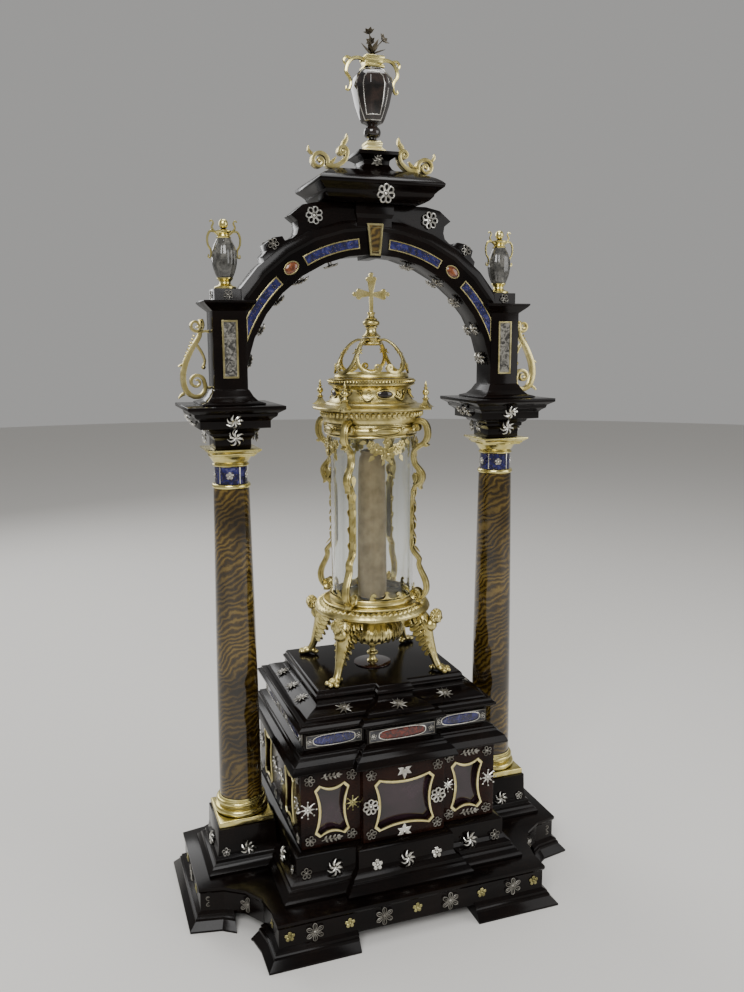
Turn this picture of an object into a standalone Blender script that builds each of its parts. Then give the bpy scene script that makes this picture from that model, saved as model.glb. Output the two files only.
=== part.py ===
"""Reliquary casket: an ebony aedicule with stone columns, a glazed casket and a gilt ostensory.

Metres, +Z up. The origin is on the floor at the middle of the base; -Y is the front.
Run it with blender --background --python part.py, or from Blender's text editor.
"""
import bmesh
import bpy
from math import acos, cos, degrees, pi, radians, sin, sqrt
from mathutils import Matrix, Vector

for item in list(bpy.data.objects):
    bpy.data.objects.remove(item, do_unlink=True)

# Fits
SEAT_GAP = 0.0003          # left between two pieces that touch
WALL = 0.006               # wooden walls of the casket
ROUND_SIDES = 16           # sides of a turned piece

# Casket: every moulding is an offset of the plan of its frieze
FRIEZE_HALF_X = 0.1008
FRIEZE_HALF_Y = 0.0860
BREAK_HALF_X = 0.0382      # the middle bay that stands forward
BREAK_DEPTH = 0.0100
BODY_OFFSET = 0.0067
PLINTH_SPREAD = 0.0310
PLINTH_DIE = 0.0145
CORNICE_SPREAD = 0.0178
BODY_FLOOR = 0.0050
LID_WALL = 0.0050
LID_BORDER = 0.0190        # how far the sloping border of the lid reaches inward

# Pedestals and columns
COLUMN_X = 0.1500
PEDESTAL_HALF = 0.0305
PEDESTAL_SPREAD = 0.0130
BASE_PLINTH_HALF = PEDESTAL_HALF - 0.0016
BASE_PLINTH_HEIGHT = 0.0070
SHAFT_BOTTOM_RADIUS = 0.0226
SHAFT_TOP_RADIUS = SHAFT_BOTTOM_RADIUS - 0.0044
NECK_RADIUS = SHAFT_TOP_RADIUS - 0.0016
ABACUS_HALF = NECK_RADIUS + 0.0101
ABACUS_HEIGHT = 0.0078
IMPOST_NECK_HALF = 0.0180  # the imposts are stepped blocks that widen upwards
IMPOST_SPREAD = 0.0294

# Base plinth: a skirt with concave corners, on moulded bracket feet
SKIRT_LEDGE = 0.0120       # the skirt stands out this far from what it carries
SKIRT_HALF_X = FRIEZE_HALF_X + PLINTH_SPREAD + SKIRT_LEDGE
SKIRT_HALF_Y = FRIEZE_HALF_Y + BREAK_DEPTH + PLINTH_SPREAD + SKIRT_LEDGE
WING_HALF_X = COLUMN_X + PEDESTAL_HALF + PEDESTAL_SPREAD + SKIRT_LEDGE
WING_HALF_Y = PEDESTAL_HALF + PEDESTAL_SPREAD + SKIRT_LEDGE
SKIRT_LIP = 0.0018
SKIRT_UNDERSIDE = 0.0140   # clear height under the skirt
FOOT_LAP = 0.0035          # the feet's moulding climbs this far up the skirt
FOOT_SPREAD = 0.0128       # how far a foot stands out from the skirt
FRONT_FOOT_WIDTH = 0.0800
FRONT_FOOT_DEPTH = 0.0430
WING_FOOT_WIDTH = 0.0320

# Heights of the pieces that stand on one another, from the floor up
SKIRT_HEIGHT = 0.0275
PLINTH_HEIGHT = 0.0425
BODY_HEIGHT = 0.0815
LOWER_CORNICE_HEIGHT = 0.0230
FRIEZE_HEIGHT = 0.0165
UPPER_CORNICE_HEIGHT = 0.0110
LID_SLOPE_HEIGHT = 0.0170
LID_RISE = 0.0075
PEDESTAL_HEIGHT = 0.0453
COLUMN_BASE_HEIGHT = 0.0262
SHAFT_HEIGHT = 0.3318
RING_HEIGHT = 0.0052
NECK_HEIGHT = 0.0175
CAPITAL_HEIGHT = 0.0185
IMPOST_HEIGHT = 0.0435
PIER_HEIGHT = 0.0910
PIER_CAP_HEIGHT = 0.0100
PIER_DIE_HEIGHT = 0.0115
SPRING_RISE = 0.0128       # the arch's centre lies this far above the imposts
CONSOLE_RISE = 0.0147      # the block between the arch and the top cornice
CORNICE_HEIGHT = 0.0180
ROOF_HEIGHT = 0.0135
URN_PLINTH_HEIGHT = 0.0190
URN_FOOT_HEIGHT = 0.0135
URN_KNOP_HEIGHT = 0.0160
URN_BODY_HEIGHT = 0.0510
URN_NECK_HEIGHT = 0.0115
FLOWER_HEIGHT = 0.0280
SIDE_URN_FOOT_HEIGHT = 0.0110
SIDE_URN_BODY_HEIGHT = 0.0370
SIDE_URN_TOP_HEIGHT = 0.0185
STEM_HEIGHT = 0.0265
BOWL_HEIGHT = 0.0380
PLATE_HEIGHT = 0.0115

# Levels of the base, the casket and the columns
SKIRT_TOP = SKIRT_UNDERSIDE + SKIRT_HEIGHT
PLINTH_TOP = SKIRT_TOP + PLINTH_HEIGHT
BODY_TOP = PLINTH_TOP + BODY_HEIGHT
FRIEZE_BOTTOM = BODY_TOP + LOWER_CORNICE_HEIGHT
FRIEZE_TOP = FRIEZE_BOTTOM + FRIEZE_HEIGHT
CORNICE_TOP = FRIEZE_TOP + UPPER_CORNICE_HEIGHT
LID_SLOPE_TOP = CORNICE_TOP + LID_SLOPE_HEIGHT
LID_TOP = LID_SLOPE_TOP + LID_RISE
PEDESTAL_TOP = SKIRT_TOP + PEDESTAL_HEIGHT
SHAFT_BOTTOM = PEDESTAL_TOP + COLUMN_BASE_HEIGHT
SHAFT_TOP = SHAFT_BOTTOM + SHAFT_HEIGHT
NECK_BOTTOM = SHAFT_TOP + RING_HEIGHT
NECK_TOP = NECK_BOTTOM + NECK_HEIGHT
ABACUS_TOP = NECK_TOP + CAPITAL_HEIGHT
IMPOST_TOP = ABACUS_TOP + IMPOST_HEIGHT

# Windows of the casket
WINDOW_HALF_HEIGHT = 0.0260
WINDOW_SIDE_HALF = 0.0160
WINDOW_MIDDLE_HALF = BREAK_HALF_X - 0.0077
WINDOW_SIDE_X = FRIEZE_HALF_X - 0.0258
WINDOW_END_Y = FRIEZE_HALF_Y - 0.0380
WINDOW_Z = (PLINTH_TOP + BODY_TOP) / 2 - 0.0013
WINDOW_CHAMFER = 0.0042
WINDOW_SAG = 0.0045
PANE_THICKNESS = 0.0018
PANE_LAP = 0.0030

# Arch with its piers
PIER_HALF_WIDTH = 0.0165
PIER_HALF_DEPTH = 0.0170
PIER_CAP_BOTTOM = IMPOST_TOP + PIER_HEIGHT
PIER_CAP_TOP = PIER_CAP_BOTTOM + PIER_CAP_HEIGHT
PIER_TOP = PIER_CAP_TOP + PIER_DIE_HEIGHT
PIER_DIE_INSET = 0.0030
ARCH_END_X = COLUMN_X - PIER_HALF_WIDTH + 0.0040   # the arch runs this far into its piers
ARCH_CENTRE_Z = IMPOST_TOP + SPRING_RISE
ARCH_INNER = COLUMN_X - PIER_HALF_WIDTH + 0.0023
ARCH_BEAD = ARCH_INNER + 0.0265
ARCH_BACK = ARCH_BEAD + 0.0082
ARCH_HALF_DEPTH = PIER_HALF_DEPTH - 0.0010
ARCH_BEAD_STAND = 0.0016
ARCH_STEPS = 16
SHOULDER_HALF_DEPTH = ARCH_HALF_DEPTH - 0.0030
KEYSTONE_BOTTOM = ARCH_CENTRE_Z + ARCH_INNER - 0.0036
KEYSTONE_TOP = ARCH_CENTRE_Z + ARCH_BACK - 0.0048
KEYSTONE_HALF_BOTTOM = 0.0060
KEYSTONE_HALF_TOP = 0.0090
KEYSTONE_STAND = 0.0032
CONSOLE_HALF_X = 0.0185
CONSOLE_HALF_Y = ARCH_HALF_DEPTH + 0.0015

# Top cornice and urn plinth
CORNICE_HALF_X = 0.0656
CORNICE_HALF_Y = 0.0460
CORNICE_UNDERSIDE = ARCH_CENTRE_Z + ARCH_BACK + CONSOLE_RISE
CORNICE_LIP = CORNICE_UNDERSIDE + CORNICE_HEIGHT
CORNICE_CREST = CORNICE_LIP + ROOF_HEIGHT
URN_X = 0.0040             # the urn and its plinth stand a little to the right
URN_PLINTH_HALF = 0.0210
URN_PLINTH_TOP = CORNICE_CREST + URN_PLINTH_HEIGHT

# Top urn
URN_FOOT_TOP = URN_PLINTH_TOP + URN_FOOT_HEIGHT
URN_KNOP_TOP = URN_FOOT_TOP + URN_KNOP_HEIGHT
URN_BODY_TOP = URN_KNOP_TOP + URN_BODY_HEIGHT
URN_NECK_TOP = URN_BODY_TOP + URN_NECK_HEIGHT
FLOWER_TOP = URN_NECK_TOP + FLOWER_HEIGHT
URN_BODY_HALF = 0.0200
URN_FOOT_HALF = 0.0110
URN_NECK_HALF = 0.0100
URN_NECK_BORE = URN_NECK_HALF - 0.0032

# Side urns on the piers
SIDE_URN_FOOT_TOP = PIER_TOP + SIDE_URN_FOOT_HEIGHT
SIDE_URN_BODY_TOP = SIDE_URN_FOOT_TOP + SIDE_URN_BODY_HEIGHT
SIDE_URN_BALL_TOP = SIDE_URN_BODY_TOP + SIDE_URN_TOP_HEIGHT
SIDE_URN_RADIUS = 0.0125

# Scrolls at the top cornice and beside the piers
CORNICE_SCROLL_RADIUS = 0.0095
CORNICE_SCROLL_X = CORNICE_HALF_X - 0.0091
CORNICE_SCROLL_Y = -0.0120
PIER_SCROLL_TOP = PIER_CAP_BOTTOM - 0.0130
PIER_SCROLL_BOTTOM = IMPOST_TOP + 0.0215

# Ostensory: its glass fills what is left between the lid and the arch
OSTENSORY_Y = -0.0060
OSTENSORY_SIDES = 16
GLASS_RADIUS = 0.0440
GLASS_WALL = 0.0022
DISC_RADIUS = 0.0205
DISC_HEIGHT = 0.0012
BOWL_RADIUS = 0.0330
PLATE_RADIUS = GLASS_RADIUS + 0.0190
GALLERY_WALL = 0.0022
GALLERY_HEIGHT = 0.0070    # the raised ring round the foot of the glass
RELIC_RADIUS = 0.0158
PLATFORM_RADIUS = GLASS_RADIUS + 0.0185
DRUM_RADIUS = GLASS_RADIUS - 0.0050
CROWN_RADIUS = DRUM_RADIUS - 0.0015
FINIAL_REACH = PLATFORM_RADIUS - 0.0025
KNOB_RADIUS = 0.0088
CROSS_ARM_HALF = 0.0202
CROSS_THICKNESS = 0.0034
CROSS_ARM_WIDTH = 0.0040
LOBE_RADIUS = 0.0026
BRACKET_THICKNESS = 0.0080
DIAGONALS = {"front_right": -45, "back_right": 45, "back_left": 135, "front_left": 225}
LEG_SWING = 4              # the legs turn this many degrees from the diagonals, towards the ends
LEG_REACH = PLATE_RADIUS + 0.0130
BOWL_BOTTOM = LID_TOP + STEM_HEIGHT
PLATE_UNDERSIDE = BOWL_BOTTOM + BOWL_HEIGHT
PLATE_TOP = PLATE_UNDERSIDE + PLATE_HEIGHT
CROSS_CLEARANCE = 0.0135   # between the cross and the keystone
CROSS_HEIGHT = 0.0395
CROSS_ARM_DROP = 0.0220
KNOB_HEIGHT = 0.0265
CROWN_HEIGHT = 0.0410
DRUM_CORNICE_HEIGHT = 0.0090
DRUM_HEIGHT = 0.0200
COVE_HEIGHT = 0.0260
CANOPY_LAP = 0.0050        # the canopy's collar comes down over the glass
RELIC_HEADROOM = 0.0210
CROSS_TOP = KEYSTONE_BOTTOM - CROSS_CLEARANCE
CROSS_ARM_Z = CROSS_TOP - CROSS_ARM_DROP
KNOB_TOP = CROSS_TOP - CROSS_HEIGHT
CROWN_TOP = KNOB_TOP - KNOB_HEIGHT
CANOPY_TOP = CROWN_TOP - CROWN_HEIGHT
DRUM_TOP = CANOPY_TOP - DRUM_CORNICE_HEIGHT
PLATFORM_TOP = DRUM_TOP - DRUM_HEIGHT
GLASS_TOP = PLATFORM_TOP - COVE_HEIGHT
CANOPY_BOTTOM = GLASS_TOP - CANOPY_LAP
RELIC_TOP = GLASS_TOP - RELIC_HEADROOM

# Colour, roughness, metallic and transmission of each finish
EBONY = ("241d19", 0.22, 0.0, 0.0)
GILT = ("c9b878", 0.30, 1.0, 0.0)
STONE = ("8a6a30", 0.12, 0.0, 0.0)
LAPIS = ("26265a", 0.15, 0.0, 0.0)
AGATE = ("8b867c", 0.12, 0.0, 0.0)
SMOKY = ("2b2320", 0.08, 0.0, 0.0)
JASPER = ("7a4a3c", 0.20, 0.0, 0.0)
GLASS = ("f2f4f2", 0.03, 0.0, 1.0)
DARK_GLASS = ("3b2c2a", 0.08, 0.0, 0.0)
CLOTH = ("cfc8b2", 0.80, 0.0, 0.0)
DARK_METAL = ("4a443c", 0.40, 1.0, 0.0)


def linearChannel(value):
    """sRGB channel, 0 to 1, as a linear value."""
    return value / 12.92 if value <= 0.04045 else ((value + 0.055) / 1.055) ** 2.4


def makeMaterial(name, hexColour, roughness, metallic, transmission):
    material = bpy.data.materials.new(name)
    material.use_nodes = True
    shader = material.node_tree.nodes["Principled BSDF"]
    channels = [int(hexColour[i:i + 2], 16) / 255 for i in (0, 2, 4)]
    colour = [linearChannel(channel) for channel in channels] + [1.0]
    shader.inputs["Base Color"].default_value = colour
    shader.inputs["Roughness"].default_value = roughness
    shader.inputs["Metallic"].default_value = metallic
    shader.inputs["Transmission Weight"].default_value = transmission
    material.diffuse_color = colour
    return material


def linkObject(name, mesh):
    made = bpy.data.objects.new(name, mesh)
    bpy.context.collection.objects.link(made)
    return made


def finishObject(name, mesh, finish, smooth=False):
    """A named object with a material of its own; round pieces are shaded smooth."""
    if smooth:
        mesh.shade_smooth()
        mesh.set_sharp_from_angle(angle=radians(35))
    mesh.materials.append(makeMaterial(name + "_finish", *finish))
    return linkObject(name, mesh)


def meshFrom(bm, name):
    """Turn the faces of a bmesh outward and make it a mesh."""
    bmesh.ops.recalc_face_normals(bm, faces=bm.faces)
    mesh = bpy.data.meshes.new(name)
    bm.to_mesh(mesh)
    bm.free()
    return mesh


def loftMesh(name, loops, ring=False):
    """Skin loops of equal length, first to last; a ring closes on itself, else both ends are filled."""
    bm = bmesh.new()
    rows = [[bm.verts.new(point) for point in loop] for loop in loops]
    for lower, upper in zip(rows, rows[1:] + (rows[:1] if ring else [])):
        for i in range(len(lower)):
            bm.faces.new((lower[i - 1], lower[i], upper[i], upper[i - 1]))
    if not ring:
        bm.faces.new(rows[0])
        bm.faces.new(rows[-1])
    return meshFrom(bm, name)


def turnedMesh(name, profile, centre=(0.0, 0.0), sides=ROUND_SIDES, ring=False, start=0.0):
    """Spin a profile of (radius, height) points about an upright axis; a ring's profile closes on itself."""
    bm = bmesh.new()
    along = Vector((cos(start), sin(start), 0))
    axis = Vector((centre[0], centre[1], 0))
    verts = [bm.verts.new(axis + along * radius + Vector((0, 0, height))) for radius, height in profile]
    ends = verts[1:] + (verts[:1] if ring else [])
    edges = [bm.edges.new(pair) for pair in zip(verts, ends)]
    bmesh.ops.spin(bm, geom=verts + edges, cent=axis, axis=(0, 0, 1), angle=2 * pi, steps=sides,
                   use_merge=True)
    bmesh.ops.holes_fill(bm, edges=[edge for edge in bm.edges if edge.is_boundary], sides=sides)
    return meshFrom(bm, name)


def rectanglePlan(halfX, halfY, centreX=0.0):
    """Four corners, counterclockwise from the front left."""
    return [(centreX - halfX, -halfY), (centreX + halfX, -halfY),
            (centreX + halfX, halfY), (centreX - halfX, halfY)]


def mirroredPlan(right):
    """A plan from the points of its front right quarter, mirrored to the back and to the left."""
    half = right + [(x, -y) for x, y in reversed(right)]
    return half + [(-x, -y) for x, y in half]


def casketPlan():
    """The frieze's rectangle, whose middle bay stands forward at front and back."""
    return mirroredPlan([(BREAK_HALF_X, -FRIEZE_HALF_Y - BREAK_DEPTH), (BREAK_HALF_X, -FRIEZE_HALF_Y),
                         (FRIEZE_HALF_X, -FRIEZE_HALF_Y)])


def skirtPlan(steps=4):
    """A front and a back block joined to two wings by concave quarter curves."""
    reachX = WING_HALF_X - SKIRT_HALF_X
    centreY = WING_HALF_Y + reachX
    right = [(SKIRT_HALF_X, -SKIRT_HALF_Y)]
    for i in range(steps + 1):
        angle = 0.5 * pi * i / steps
        right.append((WING_HALF_X - reachX * cos(angle), -centreY + reachX * sin(angle)))
    return mirroredPlan(right)


def offsetPlan(plan, distance, height):
    """The plan moved outward by a distance, with mitred corners, at a height."""
    loop = []
    for i, (x, y) in enumerate(plan):
        (ax, ay), (bx, by) = plan[i - 1], plan[(i + 1) % len(plan)]
        before = Vector((y - ay, ax - x)).normalized()
        after = Vector((by - y, x - bx)).normalized()
        mitre = (before + after) * distance / (1 + before.dot(after))
        loop.append(Vector((x + mitre.x, y + mitre.y, height)))
    return loop


def mouldedMesh(name, plan, profile, ring=False):
    """A plan that grows and shrinks by the profile's (offset, height) points."""
    return loftMesh(name, [offsetPlan(plan, offset, height) for offset, height in profile], ring)


def scaledProfile(shares, width, low, high, start=0.0):
    """Profile points from shares of a width and of the height between two levels."""
    return [(start + width * across, low + (high - low) * up) for across, up in shares]


def bead(bottom, top, rest, peak, steps=3):
    """A half-round bead between two heights of a profile."""
    points = []
    for i in range(steps + 1):
        angle = pi * i / steps
        points.append((rest + (peak - rest) * sin(angle), bottom + (top - bottom) * (1 - cos(angle)) / 2))
    return points


def uprightFrame(x, y, heading=0.0, side=1):
    """A plane that stands at (x, y): u runs level at an angle, or the other way with side -1; v runs up."""
    turn = Matrix.Rotation(radians(heading), 4, "Z") @ Matrix.Rotation(radians(90), 4, "X")
    return Matrix.Translation((x, y, 0)) @ turn @ Matrix.Scale(side, 4, (1, 0, 0))


def plateMesh(name, outline, thickness, frame):
    """An outline (u, v) in a plane, given a thickness about it."""
    faces = [[frame @ Vector((u, v, depth)) for u, v in outline] for depth in (-thickness / 2, thickness / 2)]
    return loftMesh(name, faces)


def boxMesh(name, half, low, high):
    """A box centred on the upright axis, half wide by half deep, between two levels."""
    return mouldedMesh(name, rectanglePlan(*half), [(0, low), (0, high)])


def strapMesh(name, points, widths, thickness, frame):
    """A flat strap along a path (u, v) in a plane, with a width at each point."""
    loops = []
    for i, (u, v) in enumerate(points):
        before, after = points[max(i - 1, 0)], points[min(i + 1, len(points) - 1)]
        side = Vector((before[1] - after[1], after[0] - before[0], 0)).normalized() * widths[i] / 2
        depth = Vector((0, 0, thickness / 2))
        middle = Vector((u, v, 0))
        corners = (middle - side - depth, middle + side - depth, middle + side + depth, middle - side + depth)
        loops.append([frame @ corner for corner in corners])
    return loftMesh(name, loops)


def volute(centre, radius, start, turns, steps, inner=0.35):
    """Points of a spiral that winds in about a centre; negative turns wind clockwise."""
    points = []
    for i in range(steps + 1):
        share = i / steps
        angle = radians(start) + 2 * pi * turns * share
        reach = radius * (1 - (1 - inner) * share)
        points.append((centre[0] + reach * cos(angle), centre[1] + reach * sin(angle)))
    return points


def addBoolean(target, operation, mesh):
    """Unite with, cut by or keep the part inside another solid, which is hidden."""
    other = linkObject(mesh.name, mesh)
    other.hide_render = True
    other.display_type = "WIRE"
    modifier = target.modifiers.new(operation.title(), "BOOLEAN")
    modifier.operation = operation
    modifier.solver = "EXACT"
    modifier.object = other
    return other


def buildBasePlinth():
    plan = skirtPlan()
    lipHeight = 0.0030
    skirt = [(0, SKIRT_UNDERSIDE), (0, SKIRT_TOP - 2 * lipHeight), (SKIRT_LIP, SKIRT_TOP - lipHeight),
             (SKIRT_LIP, SKIRT_TOP)]
    base = finishObject("base_plinth", mouldedMesh("base_plinth", plan, skirt), EBONY)
    mouldingShares = [(1.0, 0.0), (1.0, 0.12), (0.50, 0.50), (0.46, 0.64), (0.32, 0.68), (0.32, 0.82),
                      (-0.15, 1.0)]
    footHeight = SKIRT_UNDERSIDE + FOOT_LAP
    moulding = mouldedMesh("feet_moulding", plan, scaledProfile(mouldingShares, FOOT_SPREAD, 0, footHeight))
    feet = addBoolean(base, "UNION", moulding)
    clearLevels = (-footHeight, 2 * footHeight)
    frontClear = boxMesh("clear_front", (SKIRT_HALF_X - FRONT_FOOT_WIDTH, 2 * SKIRT_HALF_Y), *clearLevels)
    addBoolean(feet, "DIFFERENCE", frontClear)
    betweenFeet = (WING_HALF_X - WING_FOOT_WIDTH, SKIRT_HALF_Y - FRONT_FOOT_DEPTH)
    sideClear = boxMesh("clear_side", betweenFeet, *clearLevels)
    addBoolean(feet, "DIFFERENCE", sideClear)


def buildCasketPlinth():
    """The casket's plinth, with the two column pedestals that grow from it."""
    low = SKIRT_TOP + SEAT_GAP
    shares = [(1.0, 0.0), (1.0, 0.06), (0.84, 0.13), (0.64, 0.19), (0.60, 0.25), (0.45, 0.27), (0.45, 0.35),
              (0.12, 0.41), (0.0, 0.50), (0.0, 0.92), (-0.16, 0.96), (-0.40, 1.0)]
    profile = scaledProfile(shares, PLINTH_SPREAD - PLINTH_DIE, low, PLINTH_TOP, PLINTH_DIE)
    plinth = finishObject("casket_plinth", mouldedMesh("casket_plinth", casketPlan(), profile), EBONY)
    pedestalShares = [(1.0, 0.0), (1.0, 0.07), (0.70, 0.15), (0.60, 0.20), (0.38, 0.23), (0.34, 0.31),
                      (0.14, 0.36), (0.04, 0.53), (0.0, 1.0)]
    for side in (-1, 1):
        plan = rectanglePlan(PEDESTAL_HALF, PEDESTAL_HALF, side * COLUMN_X)
        pedestal = scaledProfile(pedestalShares, PEDESTAL_SPREAD, low, PEDESTAL_TOP)
        addBoolean(plinth, "UNION", mouldedMesh("pedestal", plan, pedestal))


def windowOutline(halfWidth):
    """Four concave sides between chamfered corners."""
    w, h = halfWidth, WINDOW_HALF_HEIGHT
    corners = mirroredPlan([(w - WINDOW_CHAMFER, -h), (w, -h + WINDOW_CHAMFER)])
    outline = []
    for i, start in enumerate(corners):
        outline.append(start)
        if i % 2 == 0:
            continue
        end = corners[(i + 1) % len(corners)]
        for share in (1 / 3, 2 / 3):
            u, v = (a + (b - a) * share for a, b in zip(start, end))
            sag = 4 * WINDOW_SAG * share * (1 - share)
            if abs(end[0] - start[0]) < abs(end[1] - start[1]):
                u -= sag if u > 0 else -sag
            else:
                v -= sag if v > 0 else -sag
            outline.append((u, v))
    return outline


def windowPlaces():
    """Name, half width, and place and facing of each window, at the inner face of its wall."""
    inner = BODY_OFFSET - WALL
    front = FRIEZE_HALF_Y + inner
    places = [("front_middle", WINDOW_MIDDLE_HALF, Vector((0, -front - BREAK_DEPTH)), 0)]
    for side, name in ((-1, "left"), (1, "right")):
        places.append(("front_" + name, WINDOW_SIDE_HALF, Vector((side * WINDOW_SIDE_X, -front)), 0))
        wallX = side * (FRIEZE_HALF_X + inner)
        for along, end in ((-1, "front"), (1, "back")):
            label = "%s_end_%s" % (name, end)
            places.append((label, WINDOW_SIDE_HALF, Vector((wallX, along * WINDOW_END_Y)), side * 90))
    return places


def buildCasketBody():
    """Floor and walls, with an opening for each window."""
    bottom = PLINTH_TOP + SEAT_GAP
    inner = BODY_OFFSET - WALL
    profile = [(BODY_OFFSET, bottom), (BODY_OFFSET, BODY_TOP), (inner, BODY_TOP),
               (inner, bottom + BODY_FLOOR)]
    body = finishObject("casket_body", mouldedMesh("casket_body", casketPlan(), profile), EBONY)
    for name, half, place, turn in windowPlaces():
        frame = uprightFrame(place.x, place.y, turn) @ Matrix.Translation((0, WINDOW_Z, 0))
        addBoolean(body, "DIFFERENCE", plateMesh("opening_" + name, windowOutline(half), 3 * WALL, frame))


def buildWindowPanes():
    """Glass behind the openings, held against the inner faces of the walls."""
    back = SEAT_GAP + PANE_THICKNESS / 2
    for name, half, place, turn in windowPlaces():
        frame = uprightFrame(place.x, place.y, turn) @ Matrix.Translation((0, WINDOW_Z, -back))
        outline = rectanglePlan(half + PANE_LAP, WINDOW_HALF_HEIGHT + PANE_LAP)
        finishObject("pane_" + name, plateMesh("pane_" + name, outline, PANE_THICKNESS, frame), DARK_GLASS)


def buildCasketCornice():
    """Lower cornice, frieze and upper cornice: one frame, open through its middle."""
    low = BODY_TOP + SEAT_GAP
    lowerShares = [(0.44, 0.0), (0.52, 0.10), (0.97, 0.17), (1.0, 0.24), (0.85, 0.49), (0.80, 0.53),
                   (0.50, 0.67), (0.44, 0.78), (0.36, 0.82), (0.35, 0.88), (0.0, 1.0)]
    upperShares = [(0.0, 0.0), (0.12, 0.10), (0.44, 0.42), (0.44, 0.62), (0.24, 0.80), (0.22, 1.0)]
    profile = scaledProfile(lowerShares, CORNICE_SPREAD, low, FRIEZE_BOTTOM)
    profile += scaledProfile(upperShares, CORNICE_SPREAD, FRIEZE_TOP, CORNICE_TOP)
    profile += [(-WALL, CORNICE_TOP), (-WALL, low)]
    finishObject("casket_cornice", mouldedMesh("casket_cornice", casketPlan(), profile, ring=True), EBONY)


def buildCasketLid():
    """A hollow lid that lifts off: a sloping border round a raised flat top."""
    low = CORNICE_TOP + SEAT_GAP
    border = -LID_BORDER
    outer = scaledProfile([(0.05, 0.0), (0.18, 0.18), (0.50, 0.36), (0.87, 0.50), (1.0, 0.62), (1.0, 0.90),
                           (0.90, 1.0)], border, low, LID_SLOPE_TOP)
    outer += scaledProfile([(0.90, 0.22), (1.02, 0.45), (1.05, 0.80), (1.13, 1.0)], border, LID_SLOPE_TOP,
                           LID_TOP)
    inner = [(border - LID_WALL, LID_TOP - LID_WALL), (border - LID_WALL, low + LID_WALL), (-LID_WALL, low)]
    finishObject("casket_lid", mouldedMesh("casket_lid", casketPlan(), inner + outer), EBONY)


def buildColumnBase(side, label):
    axis = (side * COLUMN_X, 0)
    low = PEDESTAL_TOP + SEAT_GAP
    plinthTop = low + BASE_PLINTH_HEIGHT
    plan = rectanglePlan(BASE_PLINTH_HALF, BASE_PLINTH_HALF, axis[0])
    plinth = mouldedMesh("column_base_" + label, plan, [(0, low), (0, plinthTop)])
    base = finishObject("column_base_" + label, plinth, GILT, smooth=True)
    rise = SHAFT_BOTTOM - SEAT_GAP - plinthTop
    radius = SHAFT_BOTTOM_RADIUS
    lower = bead(plinthTop - SEAT_GAP, plinthTop + 0.38 * rise, radius + 0.0032, BASE_PLINTH_HALF - SEAT_GAP)
    upper = bead(plinthTop + 0.52 * rise, plinthTop + 0.80 * rise, radius + 0.0018, radius + 0.0036, 2)
    fillet = radius + 0.0014
    profile = lower + [(fillet, plinthTop + 0.42 * rise)] + upper + [(fillet, plinthTop + rise)]
    addBoolean(base, "UNION", turnedMesh("torus", profile, axis))


def buildColumnShaft(side, label):
    """A stone shaft that tapers more towards its top."""
    profile = []
    for share in (0, 1 / 3, 2 / 3, 1):
        radius = SHAFT_BOTTOM_RADIUS - (SHAFT_BOTTOM_RADIUS - SHAFT_TOP_RADIUS) * share ** 1.4
        profile.append((radius, SHAFT_BOTTOM + (SHAFT_TOP - SHAFT_BOTTOM) * share))
    mesh = turnedMesh("column_shaft_" + label, profile, (side * COLUMN_X, 0))
    finishObject("column_shaft_" + label, mesh, STONE, smooth=True)


def buildColumnTop(side, label):
    """Gilt ring, lapis neck band, and capital with a square abacus."""
    axis = (side * COLUMN_X, 0)
    ring = bead(SHAFT_TOP + SEAT_GAP, NECK_BOTTOM - SEAT_GAP, SHAFT_TOP_RADIUS, SHAFT_TOP_RADIUS + 0.0013)
    finishObject("column_ring_" + label, turnedMesh("column_ring_" + label, ring, axis), GILT, smooth=True)
    neck = [(NECK_RADIUS, NECK_BOTTOM), (NECK_RADIUS, NECK_TOP)]
    finishObject("column_neck_" + label, turnedMesh("column_neck_" + label, neck, axis), LAPIS, smooth=True)
    abacusLow = ABACUS_TOP - ABACUS_HEIGHT
    shares = [(-0.20, 0.0), (-0.20, 0.20), (-0.14, 0.22), (-0.14, 0.44), (0.0, 0.75), (0.0, 1.0)]
    steps = scaledProfile(shares, ABACUS_HALF, abacusLow, ABACUS_TOP)
    plan = rectanglePlan(ABACUS_HALF, ABACUS_HALF, axis[0])
    capital = finishObject("column_capital_" + label, mouldedMesh("column_capital_" + label, plan, steps),
                           GILT, smooth=True)
    echinus = scaledProfile([(1.05, 0.0), (1.02, 0.25), (1.16, 0.50), (1.25, 0.78), (1.18, 1.05)],
                            NECK_RADIUS, NECK_TOP + SEAT_GAP, abacusLow)
    addBoolean(capital, "UNION", turnedMesh("echinus", echinus, axis))


def buildImpost(side, label):
    """An upturned stepped pyramid between the capital and the pier."""
    shares = [(0.0, 0.0), (0.0, 0.20), (0.05, 0.27), (0.11, 0.30), (0.11, 0.36), (0.21, 0.40), (0.26, 0.46),
              (0.565, 0.49), (0.565, 0.655), (0.64, 0.71), (0.75, 0.76), (0.78, 0.83), (0.90, 0.88),
              (1.0, 0.92), (1.0, 1.0)]
    plan = rectanglePlan(IMPOST_NECK_HALF, IMPOST_NECK_HALF, side * COLUMN_X)
    profile = scaledProfile(shares, IMPOST_SPREAD, ABACUS_TOP + SEAT_GAP, IMPOST_TOP)
    finishObject("impost_" + label, mouldedMesh("impost_" + label, plan, profile), EBONY)


def arcPoints(radius, start, end, steps):
    """Points (x, z) on an arc about the centre of the arch, between two angles in degrees."""
    points = []
    for i in range(steps + 1):
        angle = radians(start + (end - start) * i / max(steps, 1))
        points.append((radius * cos(angle), ARCH_CENTRE_Z + radius * sin(angle)))
    return points


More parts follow.
